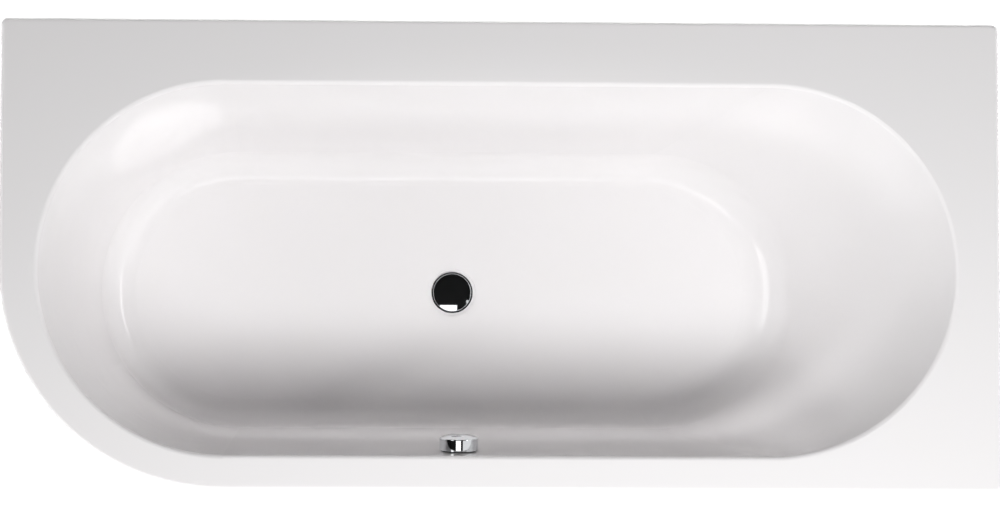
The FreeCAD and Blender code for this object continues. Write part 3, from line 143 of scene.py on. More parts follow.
@dataclass(frozen=True)
class Surface:
    """Nodes of one material, and the patterns that a finish lays with them.

    Its place is the object's own coordinates in millimetres.
    """

    tree: Tree
    shader: bpy.types.Node
    place: Socket

    def streaks(self, size_mm: Triple, turn_deg: Triple = (0.0, 0.0, 0.0)) -> Socket:
        """Noise drawn out one way.

        Args:
            size_mm: Size of one streak along its own axes.
            turn_deg: Turn of those axes.
        Returns:
            Pattern from 0 to 1.
        """
        spin = tuple(math.radians(angle) for angle in turn_deg)
        drawn = add(self.tree, "Mapping", {"Vector": self.place, "Rotation": spin, "Scale": size_mm},
                    vector_type="TEXTURE").outputs["Vector"]
        return add(self.tree, "TexNoise", {"Vector": drawn, "Scale": 1.0, "Detail": 1.0}).outputs["Fac"]

    def bump(self, height: Socket, depth_mm: float, edge_mm: float) -> None:
        """Raise the surface by a pattern, and soften its edges.

        Args:
            height: Pattern from 0 to 1.
            depth_mm: Depth of the pattern.
            edge_mm: Rounding of the edges, or 0 for edges that stay as they are.
        """
        raised = add(self.tree, "Bump", {"Height": height, "Strength": 1.0, "Distance": depth_mm * MM})
        self.tree.links.new(raised.outputs["Normal"], self.shader.inputs["Normal"])
        if edge_mm:
            worn = add(self.tree, "Bevel", {"Radius": edge_mm * MM}, samples=EDGE_SAMPLES)
            self.tree.links.new(worn.outputs["Normal"], raised.inputs["Normal"])

    def roughen(self, fac: Socket, middle: float, spread: float) -> None:
        """Let the roughness follow a pattern.

        Args:
            fac: Pattern from 0 to 1.
            middle: Roughness halfway.
            spread: How far it goes to either side.
        """
        span = add(self.tree, "MapRange",
                   {"Value": fac, "To Min": middle - spread, "To Max": middle + spread})
        self.tree.links.new(span.outputs["Result"], self.shader.inputs["Roughness"])

    def tint(self, fac: Socket, low: str, high: str) -> None:
        """Let the colour follow a pattern.

        Args:
            fac: Pattern from 0 to 1.
            low: Hex colour at 0.
            high: Hex colour at 1.
        """
        mixed = add(self.tree, "Mix", {0: fac, 6: linear(low), 7: linear(high)}, data_type="RGBA")
        self.tree.links.new(mixed.outputs[2], self.shader.inputs["Base Color"])


@dataclass(frozen=True)
class Finish:
    """A surface finish: constants on the shader, and patterns that a subclass adds."""

    name: str
    colour: str
    roughness: float
    metallic: float = 0.0
    ior: float = 1.5
    edge_mm: float = 0.0
    spread: float = 0.1

    def material(self) -> bpy.types.Material:
        """Build the finish's material, or find it if it is there already.

        Returns:
            The material.
        """
        if self.name in bpy.data.materials:
            return bpy.data.materials[self.name]
        made = bpy.data.materials.new(self.name)
        made.use_nodes = True
        tree = made.node_tree
        shader = tree.nodes["Principled BSDF"]
        shader.inputs["Base Color"].default_value = linear(self.colour)
        shader.inputs["Roughness"].default_value = self.roughness
        shader.inputs["Metallic"].default_value = self.metallic
        if not self.metallic:
            shader.inputs["IOR"].default_value = self.ior
        place = add(tree, "TexCoord").outputs["Object"]
        scaled = add(tree, "Mapping", {"Vector": place, "Scale": (MM, MM, MM)}, vector_type="TEXTURE")
        self.pattern(Surface(tree, shader, scaled.outputs["Vector"]))
        return made

    def pattern(self, surface: Surface) -> None:
        """Add what varies over the surface.

        Args:
            surface: Surface that takes the patterns.
        """
        raise NotImplementedError


# Finishes

@dataclass(frozen=True)
class FormedAcrylic(Finish):
    """Vacuum-formed acrylic sheet: deep clear gloss on white, with long shallow waves from the forming."""

    spread: float = 0.024
    warm_colour: str = "F4F2F2"
    wave_mm: float = 70.0
    wave_depth_mm: float = 0.05
    haze_mm: float = 18.0

    def pattern(self, surface: Surface) -> None:
        """Lay long shallow waves, a faint change of tint and a little haze.

        Args:
            surface: Surface that takes them.
        """
        tree, place = surface.tree, surface.place
        wave = add(tree, "TexNoise", {"Vector": place, "Scale": 1 / self.wave_mm, "Detail": 1.0})
        haze = add(tree, "TexNoise", {"Vector": place, "Scale": 1 / self.haze_mm, "Detail": 4.0})
        surface.bump(wave.outputs["Fac"], self.wave_depth_mm, self.edge_mm)
        surface.tint(wave.outputs["Fac"], self.colour, self.warm_colour)
        surface.roughen(haze.outputs["Fac"], self.roughness, self.spread)


@dataclass(frozen=True)
class StrandLaminate(Finish):
    """Chopped glass strands sprayed with resin: pale strands lying every way, cloudy, lumpy, half gloss."""

    spread: float = 0.147
    strand_colour: str = "F2F0E8"
    strand_length_mm: float = 45.0
    # Wider than real strands, so that they show
    strand_width_mm: float = 2.4
    strand_depth_mm: float = 0.7
    strand_edges: tuple[float, float] = (0.56, 0.68)
    lump_mm: float = 26.0
    turns_deg: tuple[Triple, ...] = ((0, 20, 15), (25, 50, 75), (70, 10, 130), (40, 80, 40))

    def pattern(self, surface: Surface) -> None:
        """Lay strands in layers turned against each other, over lumps of resin.

        Args:
            surface: Surface that takes them.
        """
        tree = surface.tree
        size = (self.strand_length_mm, self.strand_width_mm, self.strand_width_mm)
        start, full = self.strand_edges
        layers = []
        for turn in self.turns_deg:
            noise = surface.streaks(size, turn)
            cut = add(tree, "MapRange", {"Value": noise, "From Min": start, "From Max": full})
            layers.append(cut.outputs["Result"])
        strands = layers[0]
        for layer in layers[1:]:
            strands = add(tree, "Math", {0: strands, 1: layer}, operation="MAXIMUM").outputs[0]
        noise = add(tree, "TexNoise", {"Vector": surface.place, "Scale": 1 / self.lump_mm, "Detail": 2.0})
        lumps = noise.outputs["Fac"]
        raised = add(tree, "Math", {0: strands, 1: lumps}, operation="ADD").outputs[0]
        pale = add(tree, "Math", {0: strands, 1: lumps}, operation="MULTIPLY").outputs[0]
        surface.bump(raised, self.strand_depth_mm, self.edge_mm)
        surface.tint(pale, self.colour, self.strand_colour)
        surface.roughen(lumps, self.roughness, self.spread)


@dataclass(frozen=True)
class PressedChips(Finish):
    """Wood chips pressed with resin: flat tan flakes of many shades, matt, with small pits between them."""

    dark_colour: str = "8F6B43"
    chip_mm: Triple = (11.0, 4.5, 2.5)
    pit_depth_mm: float = 0.25

    def pattern(self, surface: Surface) -> None:
        """Give each chip its own shade, and sink pits along the chips' edges.

        Args:
            surface: Surface that takes them.
        """
        laid = add(surface.tree, "Mapping", {"Vector": surface.place, "Scale": self.chip_mm},
                   vector_type="TEXTURE").outputs["Vector"]
        chips = add(surface.tree, "TexVoronoi", {"Vector": laid, "Scale": 1.0})
        surface.tint(chips.outputs["Color"], self.dark_colour, self.colour)
        surface.bump(chips.outputs["Distance"], -self.pit_depth_mm, self.edge_mm)
        surface.roughen(chips.outputs["Color"], self.roughness, self.spread)


@dataclass(frozen=True)
class SawnPine(Finish):
    """Planed pine, flat sawn: cream early wood, orange-brown late bands, and fine fibres along the piece."""

    late_colour: str = "A9763F"
    ring_mm: float = 7.0
    ring_stretch: float = 9.0
    ring_wander: float = 7.0
    fibre_mm: Triple = (60.0, 0.8, 0.8)
    fibre_depth_mm: float = 0.12
    turn_deg: float = 0.0

    def pattern(self, surface: Surface) -> None:
        """Lay growth rings that wander along the piece, under the fibres.

        Args:
            surface: Surface that takes them.
        """
        spin = (0.0, 0.0, math.radians(self.turn_deg))
        along = add(surface.tree, "Mapping",
                    {"Vector": surface.place, "Rotation": spin, "Scale": (self.ring_stretch, 1.0, 1.0)},
                    vector_type="TEXTURE").outputs["Vector"]
        rings = add(surface.tree, "TexWave",
                    {"Vector": along, "Scale": WAVE_REPEAT / self.ring_mm, "Distortion": self.ring_wander,
                     "Detail": 2.0, "Detail Scale": 0.25},
                    wave_type="RINGS", rings_direction="X", wave_profile="SAW")
        surface.tint(rings.outputs["Fac"], self.colour, self.late_colour)
        fibres = surface.streaks(self.fibre_mm, (0.0, 0.0, self.turn_deg))
        surface.bump(fibres, self.fibre_depth_mm, self.edge_mm)
        surface.roughen(fibres, self.roughness, self.spread)


@dataclass(frozen=True)
class HotDipZinc(Finish):
    """Hot-dip galvanised sheet: grey zinc frozen in spangles, each with its own shade and sheen."""

    spread: float = 0.12
    dark_colour: str = "8E9396"
    spangle_mm: float = 7.0

    def pattern(self, surface: Surface) -> None:
        """Give each spangle its own shade and sheen.

        Args:
            surface: Surface that takes them.
        """
        spangles = add(surface.tree, "TexVoronoi", {"Vector": surface.place, "Scale": 1 / self.spangle_mm})
        surface.tint(spangles.outputs["Color"], self.dark_colour, self.colour)
        surface.roughen(spangles.outputs["Color"], self.roughness, self.spread)


@dataclass(frozen=True)
class WorkedMetal(Finish):
    """Metal with the marks of how it was worked: fine streaks one way, whose shade shifts a little."""

    spread: float = 0.04
    shade_colour: str = "A9ADB0"
    # Coarser than real marks, which would be too fine to show
    mark_mm: Triple = (30.0, 30.0, 0.5)
    mark_depth_mm: float = 0.0

    def pattern(self, surface: Surface) -> None:
        """Lay working marks in shade, gloss and, where they can be felt, height.

        Args:
            surface: Surface that takes them.
        """
        marks = surface.streaks(self.mark_mm)
        surface.tint(marks, self.shade_colour, self.colour)
        surface.roughen(marks, self.roughness, self.spread)
        if self.mark_depth_mm:
            surface.bump(marks, self.mark_depth_mm, self.edge_mm)


@dataclass(frozen=True)
class MouldedPlastic(Finish):
    """Injection-moulded or pressed polymer: an even colour with a fine mould grain and cloudy gloss."""

    spread: float = 0.08
    cloud_colour: str = "E4E4E1"
    # Coarser than real grain, which would be too fine to show
    grain_mm: float = 0.9
    grain_depth_mm: float = 0.04
    cloud_mm: float = 22.0

    def pattern(self, surface: Surface) -> None:
        """Lay mould grain, and broad clouds in colour and gloss.

        Args:
            surface: Surface that takes them.
        """
        tree, place = surface.tree, surface.place
        grain = add(tree, "TexNoise", {"Vector": place, "Scale": 1 / self.grain_mm, "Detail": 2.0})
        clouds = add(tree, "TexNoise", {"Vector": place, "Scale": 1 / self.cloud_mm, "Detail": 3.0})
        surface.bump(grain.outputs["Fac"], self.grain_depth_mm, self.edge_mm)
        surface.tint(clouds.outputs["Fac"], self.colour, self.cloud_colour)
        surface.roughen(clouds.outputs["Fac"], self.roughness, self.spread)


FINISHES: dict[Slot, Finish] = {
    # White with a deep clear gloss
    Slot.ACRYLIC: FormedAcrylic("vacuum_formed_acrylic", "F4F2F3", 0.08, ior=1.49),
    # Cloudy resin, which lets the strands show
    Slot.FIBREGLASS: StrandLaminate("sprayed_glass_fibre_laminate", "D6D2C4", 0.441, ior=1.55),
    # Tan flakes, dull
    Slot.CHIPBOARD: PressedChips("pressed_chipboard", "C9A572", 0.72, edge_mm=0.8),
    # Cream and orange bands along the strip
    Slot.BATTEN_TIMBER: SawnPine("planed_pine", "DDB67C", 0.6, edge_mm=1.5),
    # Grey spangles
    Slot.GALVANISED_STEEL: HotDipZinc("hot_dip_galvanised_steel", "C3C8CA", 0.4, metallic=1.0),
    # Bluish bright, with the rolling marks round the thread
    Slot.LEG_STEEL: WorkedMetal("zinc_plated_rolled_steel", "C6CBD0", 0.26, metallic=1.0,
                                shade_colour="9DA3A9"),
    # Near black, dull, with a grain that hides scuffs
    Slot.FOOT_PLASTIC: MouldedPlastic("moulded_black_polypropylene", "26272A", 0.5, cloud_colour="303236"),
    # Mirror with faint polishing haze
    Slot.CHROME: WorkedMetal("polished_chrome_plate", "D9DBDD", 0.05, metallic=1.0, spread=0.02,
                             shade_colour="CFD2D5", mark_mm=(40.0, 1.0, 40.0)),
    # Yellow metal with turning rings that can be felt
    Slot.BRASS: WorkedMetal("turned_brass", "D8B56B", 0.24, metallic=1.0, shade_colour="C29A52",
                            mark_depth_mm=0.03),
    # Black, satin
    Slot.BLACK_PLASTIC: MouldedPlastic("moulded_black_acetal", "1C1D1F", 0.38, edge_mm=0.5,
                                       cloud_colour="25262A"),
    # Milky white, satin
    Slot.WHITE_PLASTIC: MouldedPlastic("moulded_white_polypropylene", "EDEDEA", 0.36, edge_mm=1.0),
    # Charcoal with a pale bloom
    Slot.RUBBER: MouldedPlastic("pressed_black_rubber", "1E1E1F", 0.7, cloud_colour="333333", grain_mm=1.6,
                                cloud_mm=6.0),
    # Grey skin, drawn smooth
    Slot.CABLE_SHEATH: MouldedPlastic("extruded_grey_vinyl", "6B6F73", 0.4, cloud_colour="74787C",
                                      grain_mm=2.5),
}

# The end strip's grain runs along its own length, across the tub
CROSS_GRAIN = SawnPine("planed_pine_across", "DDB67C", 0.6, edge_mm=1.5, turn_deg=90.0)


# Pieces

def millimetres(node: str) -> tuple[Vector, Vector]:
    """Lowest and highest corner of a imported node, in millimetres."""
    low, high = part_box(node)
    return Vector(low) / MM, Vector(high) / MM


def middle_of(node: str) -> Vector:
    """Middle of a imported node's box, in millimetres."""
    low, high = millimetres(node)
    return (low + high) / 2


def only(kind: type, items: list[Any]) -> list[Any]:
    """Those of some mesh elements that are of one kind."""
    return [item for item in items if isinstance(item, kind)]


def whole(bm: Mesh) -> list[Any]:
    """All elements of a mesh."""
    return bm.verts[:] + bm.edges[:] + bm.faces[:]


def make_object(bm: Mesh, name: str) -> bpy.types.Object:
    """Turn a mesh into an object of the scene.

    Args:
        bm: The mesh, which is used up.
        name: Name of the object and of its mesh.
    Returns:
        The object.
    """
    mesh = bpy.data.meshes.new(name)
    bm.to_mesh(mesh)
    bm.free()
    made = bpy.data.objects.new(name, mesh)
    bpy.context.scene.collection.objects.link(made)
    return made


class Assembly:
    """A sub-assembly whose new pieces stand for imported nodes; its meshes are made in millimetres."""

    def outline(self, bm: Mesh, profile: Profile) -> list[Any]:
        """Lay a profile in the plane of the X and Z axes.

        Args:
            bm: Mesh that takes it.
            profile: Radius and height of each corner.
        Returns:
            Its vertices and edges.
        """
        corners = [bm.verts.new((radius, 0.0, height)) for radius, height in profile]
        return corners + [bm.edges.new(pair) for pair in zip(corners, corners[1:])]

    def turn(self, bm: Mesh, profile: Profile, steps: int) -> list[Vert]:
        """Turn a profile once round the Z axis.

        Args:
            bm: Mesh that takes the turned shape.
            profile: Radius and height of each corner.
            steps: Steps of the turn.
        Returns:
            The new vertices.
        """
        there = set(bm.verts)
        bmesh.ops.spin(bm, geom=self.outline(bm, profile), axis=(0, 0, 1), angle=2 * math.pi, steps=steps,
                       use_merge=True)
        bmesh.ops.remove_doubles(bm, verts=[v for v in bm.verts if v not in there], dist=WELD_MM)
        return [v for v in bm.verts if v not in there]

    def make_hexagonal(self, verts: list[Vert], flats: float) -> None:
        """Pull turned rings out, or push them in, to a hexagon.

        Args:
            verts: Vertices of the rings.
            flats: Width across the hexagon's flats.
        """
        for vert in verts:
            sector = math.atan2(vert.co.y, vert.co.x) % (math.pi / 3) - math.pi / 6
            vert.co.xy *= flats / 2 / math.cos(sector) / vert.co.xy.length

    def keep(self, bm: Mesh, name: str, body: str, slot: Slot, *nodes: str) -> bpy.types.Object:
        """Finish a mesh as a piece of the tub.

        Args:
            bm: The mesh, which is used up.
            name: Name of the piece.
            body: Body that it rides on.
            slot: Slot that gives its finish.
            nodes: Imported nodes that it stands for.
        Returns:
            The piece.
        """
        bmesh.ops.remove_doubles(bm, verts=bm.verts, dist=WELD_MM)
        bmesh.ops.recalc_face_normals(bm, faces=bm.faces)
        bmesh.ops.scale(bm, vec=(MM, MM, MM), verts=bm.verts)
        piece = make_object(bm, name)
        piece.data.shade_smooth()
        piece.data.set_sharp_from_angle(angle=math.radians(SHARP_DEG))
        piece.data.materials.append(FINISHES[slot].material())
        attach(piece, body)
        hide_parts(*nodes)
        log.info("%s: %d faces on %s", name, len(piece.data.polygons), body)
        return piece


@dataclass
class LevellingLeg(Assembly):
    """One levelling leg: a rolled stud that stands in a ribbed foot.

    The tread's profile counts outwards from the foot's edge, and the collar's from the neck.
    """

    name: str
    crest: float = 4.95
    root: float = 4.25
    pitch: float = 1.5
    flank: float = 0.5
    land: float = 0.3
    tip: float = 1.5
    turn_steps: int = 24
    foot_radius: float = 28.0
    hollow: float = 1.0
    tread: Profile = ((-6.0, 1.0), (-5.2, 0.0), (-1.8, 0.0), (-0.5, 0.6), (0.0, 2.0), (0.0, 6.2), (-0.5, 7.4),
                      (-1.6, 8.0))
    neck_radius: float = 12.5
    collar: Profile = ((4.0, 9.0), (1.2, 10.6), (0.0, 14.0))
    neck_break: float = 1.0
    socket_radius: float = 5.1
    socket_break: float = 0.8
    socket_floor: float = 8.0
    foot_steps: int = 64
    rib_count: int = 8
    rib_thickness: float = 3.0
    rib_bottom: float = 7.5
    rib_end_height: float = 1.0
    rib_end_inset: float = 2.5
    rib_top_reach: float = 0.4
    rib_drop: float = 4.0

    def build(self) -> None:
        """Make the stud and its foot."""
        self.make_stud()
        self.make_foot()

    def make_stud(self) -> None:
        """Threaded stud: one pitch of thread wound up the rod, cut square below and chamfered above."""
        node = f"leg_stud_{self.name}"
        low, high = millimetres(node)
        bm = bmesh.new()
        self.wind_thread(bm, low.z - self.pitch, high.z + self.pitch)
        for level, above in ((low.z, False), (high.z, True)):
            cut = bmesh.ops.bisect_plane(bm, geom=whole(bm), dist=WELD_MM, plane_co=(0, 0, level),
                                         plane_no=(0, 0, 1), clear_outer=above, clear_inner=not above)
            bmesh.ops.holes_fill(bm, edges=only(Edge, cut["geom_cut"]), sides=0)
        for vert in bm.verts:
            limit = self.crest + high.z - self.tip - vert.co.z
            if vert.co.xy.length > limit:
                vert.co.xy *= limit / vert.co.xy.length
        bmesh.ops.translate(bm, vec=(*middle_of(node).xy, 0.0), verts=bm.verts)
        self.keep(bm, f"threaded_stud_{self.name}", f"leg_{self.name}", Slot.LEG_STEEL, node)

    def wind_thread(self, bm: Mesh, bottom: float, top: float) -> None:
        """Wind a thread round the Z axis, doubling it until it is long enough.

        Args:
            bm: Mesh that takes it.
            bottom: Height where it starts.
            top: Height that it has to reach.
        """
        rise = self.flank + self.land
        thread = ((self.root, 0.0), (self.crest, self.flank), (self.crest, rise),
                  (self.root, rise + self.flank), (self.root, self.pitch))
        start = self.outline(bm, tuple((radius, bottom + height) for radius, height in thread))
        bmesh.ops.spin(bm, geom=start, axis=(0, 0, 1), dvec=(0, 0, self.pitch / self.turn_steps),
                       angle=2 * math.pi, steps=self.turn_steps)
        wound = self.pitch
        while wound < top - bottom:
            again = bmesh.ops.duplicate(bm, geom=whole(bm))["geom"]
            bmesh.ops.translate(bm, vec=(0, 0, wound), verts=only(Vert, again))
            wound *= 2
        bmesh.ops.remove_doubles(bm, verts=bm.verts, dist=WELD_MM)

    def make_foot(self) -> None:
        """Moulded foot: a hollow-edged disc, a neck round the stud and ribs between them."""
        node = f"foot_pad_{self.name}"
        top = millimetres(node)[1].z
        neck, socket = self.neck_radius, self.socket_radius
        bm = bmesh.new()
        self.turn(bm, (
            (0.0, self.hollow),
            *((self.foot_radius + out, height) for out, height in self.tread),
            *((neck + out, height) for out, height in self.collar),
            (neck, top - self.neck_break), (neck - self.neck_break, top),
            (socket + self.socket_break, top), (socket, top - self.socket_break),
            (socket, self.socket_floor), (0.0, self.socket_floor)), self.foot_steps)
        self.add_ribs(bm, top - self.rib_drop)
        bmesh.ops.translate(bm, vec=(*middle_of(node).xy, 0.0), verts=bm.verts)
        self.keep(bm, f"ribbed_foot_{self.name}", f"leg_{self.name}", Slot.FOOT_PLASTIC, node)

    def add_ribs(self, bm: Mesh, top: float) -> None:
        """Stand ribs round the neck, from the neck down to the disc.

        Args:
            bm: Mesh of the foot, on the Z axis.
            top: Height of the ribs at the neck.
        """
        inside, end = self.neck_radius - self.neck_break, self.foot_radius - self.rib_end_inset
        bottom, half = self.rib_bottom, self.rib_thickness / 2
        side = ((inside, bottom), (end, bottom), (end, bottom + self.rib_end_height),
                (self.neck_radius + self.rib_top_reach, top), (inside, top))
        rib = bm.faces.new([bm.verts.new((radius, -half, height)) for radius, height in side])
        ends = only(Vert, bmesh.ops.extrude_face_region(bm, geom=[rib])["geom"])
        bmesh.ops.translate(bm, vec=(0.0, self.rib_thickness, 0.0), verts=ends)
        corners = [*rib.verts, *ends]
        edges = dict.fromkeys(edge for vert in corners for edge in vert.link_edges)
        faces = dict.fromkeys(face for vert in corners for face in vert.link_faces)
        bmesh.ops.spin(bm, geom=[*corners, *edges, *faces], axis=(0, 0, 1), use_duplicate=True,
                       angle=2 * math.pi * (1 - 1 / self.rib_count), steps=self.rib_count - 1)


@dataclass
class CradleFixings(Assembly):
    """Nuts that hold the legs to the rails, and screws that hold the rails to the board."""

    leg_names: tuple[str, ...]
    nut_flats: float = 17.0
    nut_height: float = 8.0
    nut_bore: float = 5.15
    nut_bore_break: float = 0.7
    nut_face_share: float = 0.95
    nut_chamfer_deg: float = 30.0
    nut_steps: int = 72
    screw_head: float = 4.0
    screw_head_height: float = 2.5
    screw_crown: Profile = ((1.6, 0.15), (2.4, 0.0), (3.3, 0.35))
    screw_crown_height: float = 1.4
    screw_edge_break: float = 0.2
    screw_shank: float = 2.0
    screw_point: float = 2.0
    screw_steps: int = 36
    socket_radius: float = 1.6
    socket_depth: float = 1.5
    socket_flats: float = 3.4
    screw_rows: tuple[float, ...] = (-125.0, -50.0, 50.0, 125.0)

    def build(self) -> None:
        """Make the nuts and the screws."""
        self.make_nuts()
        self.make_screws()

    def make_nuts(self) -> None:
        """Chamfered hexagon nuts, one over and one under the rail at each leg."""
        low, high = millimetres("leg_nuts")
        bm = bmesh.new()
        for name in self.leg_names:
            leg = middle_of(f"leg_stud_{name}")
            for level in (low.z, high.z - self.nut_height):
                self.add_nut(bm, Vector((leg.x, leg.y, level)))
        self.keep(bm, "leg_lock_nuts", "tub", Slot.GALVANISED_STEEL, "leg_nuts")

    def add_nut(self, bm: Mesh, place: Vector) -> None:
        """One nut: a turned ring pulled to a hexagon, whose corners the chamfer cone cuts in arcs.

        Args:
            bm: Mesh that takes the nut.
            place: Middle of its lower face.
        """
        top, bore, opening = self.nut_height, self.nut_bore, self.nut_bore_break
        outer = self.nut_flats / 2
        face = outer * self.nut_face_share
        verts = self.turn(bm, (
            (bore, opening), (bore + opening, 0.0), (face, 0.0), (outer, opening), (outer, top - opening),
            (face, top), (bore + opening, top), (bore, top - opening), (bore, opening)), self.nut_steps)
        sides = [vert for vert in verts if vert.co.xy.length > (face + outer) / 2]
        self.make_hexagonal(sides, self.nut_flats)
        for vert in sides:
            drop = (vert.co.xy.length - face) * math.tan(math.radians(self.nut_chamfer_deg))
            vert.co.z = drop if vert.co.z < top / 2 else top - drop
        bmesh.ops.translate(bm, vec=place, verts=verts)

    def make_screws(self) -> None:
        """Pan-head screws with a hexagon socket, driven up through the rails."""
        low, high = millimetres("rail_screws")
        bm = bmesh.new()
        for rail in ("foot_end_rail", "head_end_rail"):
            middle = middle_of(rail)
            for row in self.screw_rows:
                self.add_screw(bm, Vector((middle.x, middle.y + row, low.z)), high.z - low.z)
        self.keep(bm, "rail_socket_screws", "tub", Slot.GALVANISED_STEEL, "rail_screws")

    def add_screw(self, bm: Mesh, place: Vector, length: float) -> None:
        """One screw, whose round socket is pulled to a hexagon.

        Args:
            bm: Mesh that takes the screw.
            place: Middle of its head's crown.
            length: Its length with the head.
        """
        head, height, rounding = self.screw_head, self.screw_head_height, self.screw_edge_break
        verts = self.turn(bm, (
            (0.0, self.socket_depth), (self.socket_radius, self.socket_depth), *self.screw_crown,
            (head, self.screw_crown_height), (head, height - rounding), (head - rounding, height),
            (self.screw_shank, height), (self.screw_shank, length - self.screw_point), (0.0, length)),
            self.screw_steps)
        socket = [v for v in verts if abs(v.co.xy.length - self.socket_radius) < WELD_MM]
        self.make_hexagonal(socket, self.socket_flats)
        bmesh.ops.translate(bm, vec=place, verts=verts)


@dataclass
class WasteRing(Assembly):
    """Plated ring of the waste, with a round bead between the plug and the dish."""

    sleeve_bore: float = 22.0
    sleeve_outside: float = 25.0
    flange_thickness: float = 2.0
    bead_inside: float = 33.6
    bead_round: float = 1.45
    seat_radius: float = 30.0
    seat_slope: float = 0.8
    seat_drop: float = 0.3
    rise: float = 0.8
    under_plug: float = 0.1
    turn_steps: int = 96
    bead_steps: int = 6

    def build(self) -> None:
        """Turn the ring and round its bead."""
        low, high = millimetres("waste_flange")
        edge, floor = (high.x - low.x) / 2, high.z - self.rise
        step, seat, underside = floor + self.under_plug, floor - self.seat_drop, floor - self.flange_thickness
        bm = bmesh.new()
        self.turn(bm, (
            (self.sleeve_bore, low.z), (self.sleeve_outside, low.z), (self.sleeve_outside, underside),
            (edge, underside), (edge, high.z), (self.bead_inside, high.z), (self.bead_inside, step),
            (self.seat_radius + self.seat_slope, step), (self.seat_radius, seat), (self.sleeve_bore, seat),
            (self.sleeve_bore, low.z)), self.turn_steps)
        crown = [e for e in bm.edges if all(abs(v.co.z - high.z) < WELD_MM for v in e.verts)
                 and abs(e.verts[0].co.xy.length - e.verts[1].co.xy.length) < WELD_MM]
        bmesh.ops.bevel(bm, geom=crown, offset=self.bead_round, affect="EDGES", segments=self.bead_steps,
                        profile=0.5, material=-1, clamp_overlap=True)
        bmesh.ops.translate(bm, vec=(*middle_of("waste_flange").xy, 0.0), verts=bm.verts)
        self.keep(bm, "waste_ring", "tub", Slot.CHROME, "waste_flange")


@dataclass
class GripRing(Assembly):
    """A screwed plastic ring with finger grips round it, at one or more places.

    Each place is a centre and the way that the ring's axis points there. A grip's flank runs from its top
    to its foot, counted in half widths of the grip.
    """

    name: str
    node: str
    profile: Profile
    valley: float
    grip_count: int
    places: tuple[tuple[Triple, Triple], ...]
    grip_steps: int = 12
    grip_share: float = 0.4
    flank: tuple[float, float] = (2 / 3, 4 / 3)

    def build(self) -> None:
        """Turn each ring, press the valleys between its grips and set it along its axis."""
        bm = bmesh.new()
        for centre, along in self.places:
            verts = self.turn(bm, self.profile, self.grip_count * self.grip_steps)
            for vert in verts:
                radius = vert.co.xy.length
                if radius > self.valley:
                    vert.co.xy *= (self.valley + (radius - self.valley) * self.grip_at(vert.co)) / radius
            tilt = Vector((0, 0, 1)).rotation_difference(Vector(along)).to_matrix()
            bmesh.ops.rotate(bm, matrix=tilt, verts=verts)
            bmesh.ops.translate(bm, vec=centre, verts=verts)
        self.keep(bm, self.name, "tub", Slot.WHITE_PLASTIC, self.node)

    def grip_at(self, point: Vector) -> float:
        """Height of the grips round the ring.

        Args:
            point: Point on the ring, which stands on the Z axis.
        Returns:
            1 on a grip, 0 in a valley, and between them on a grip's flank.
        """
        share = math.atan2(point.y, point.x) * self.grip_count / (2 * math.pi) % 1
        from_grip = min(share, 1 - share) / (self.grip_share / 2)
        top, foot = self.flank
        return min(1.0, max(0.0, (foot - from_grip) / (foot - top)))


GRIP_RINGS = (
    GripRing("ribbed_slip_nuts", "pipe_nuts", valley=20.8, grip_count=24, grip_steps=8, grip_share=0.5,
             profile=((18.7, -10.0), (20.8, -10.0), (22.0, -9.0), (22.0, 2.0), (21.4, 3.0), (19.8, 6.0),
                      (16.2, 6.0), (16.2, 3.0), (18.7, 3.0), (18.7, -10.0)),
             places=(((-70.0, -350.26, 464.67), WALL_LEAN), ((-70.0, -110.0, 140.0), (0.0, -1.0, 0.0)))),
    GripRing("ribbed_trap_nut", "trap_nut", valley=31.0, grip_count=8, grip_share=0.3,
             profile=((24.2, 99.0), (22.2, 99.0), (22.2, 96.0), (31.4, 96.0), (33.0, 97.6), (33.0, 116.4),
                      (31.4, 118.0), (24.2, 118.0), (24.2, 99.0)),
             places=((DRAIN_AXIS, (0.0, 0.0, 1.0)),)),
    GripRing("ribbed_trap_cup", "trap_cup", valley=48.5, grip_count=12, grip_share=0.3,
             profile=((0.0, 14.0), (38.0, 14.0), (39.0, 13.0), (47.5, 13.0), (50.5, 15.0), (50.5, 33.4),
                      (49.0, 35.0), (44.2, 35.0), (44.2, 17.0), (0.0, 17.0)),
             places=((DRAIN_AXIS, (0.0, 0.0, 1.0)),)),
)


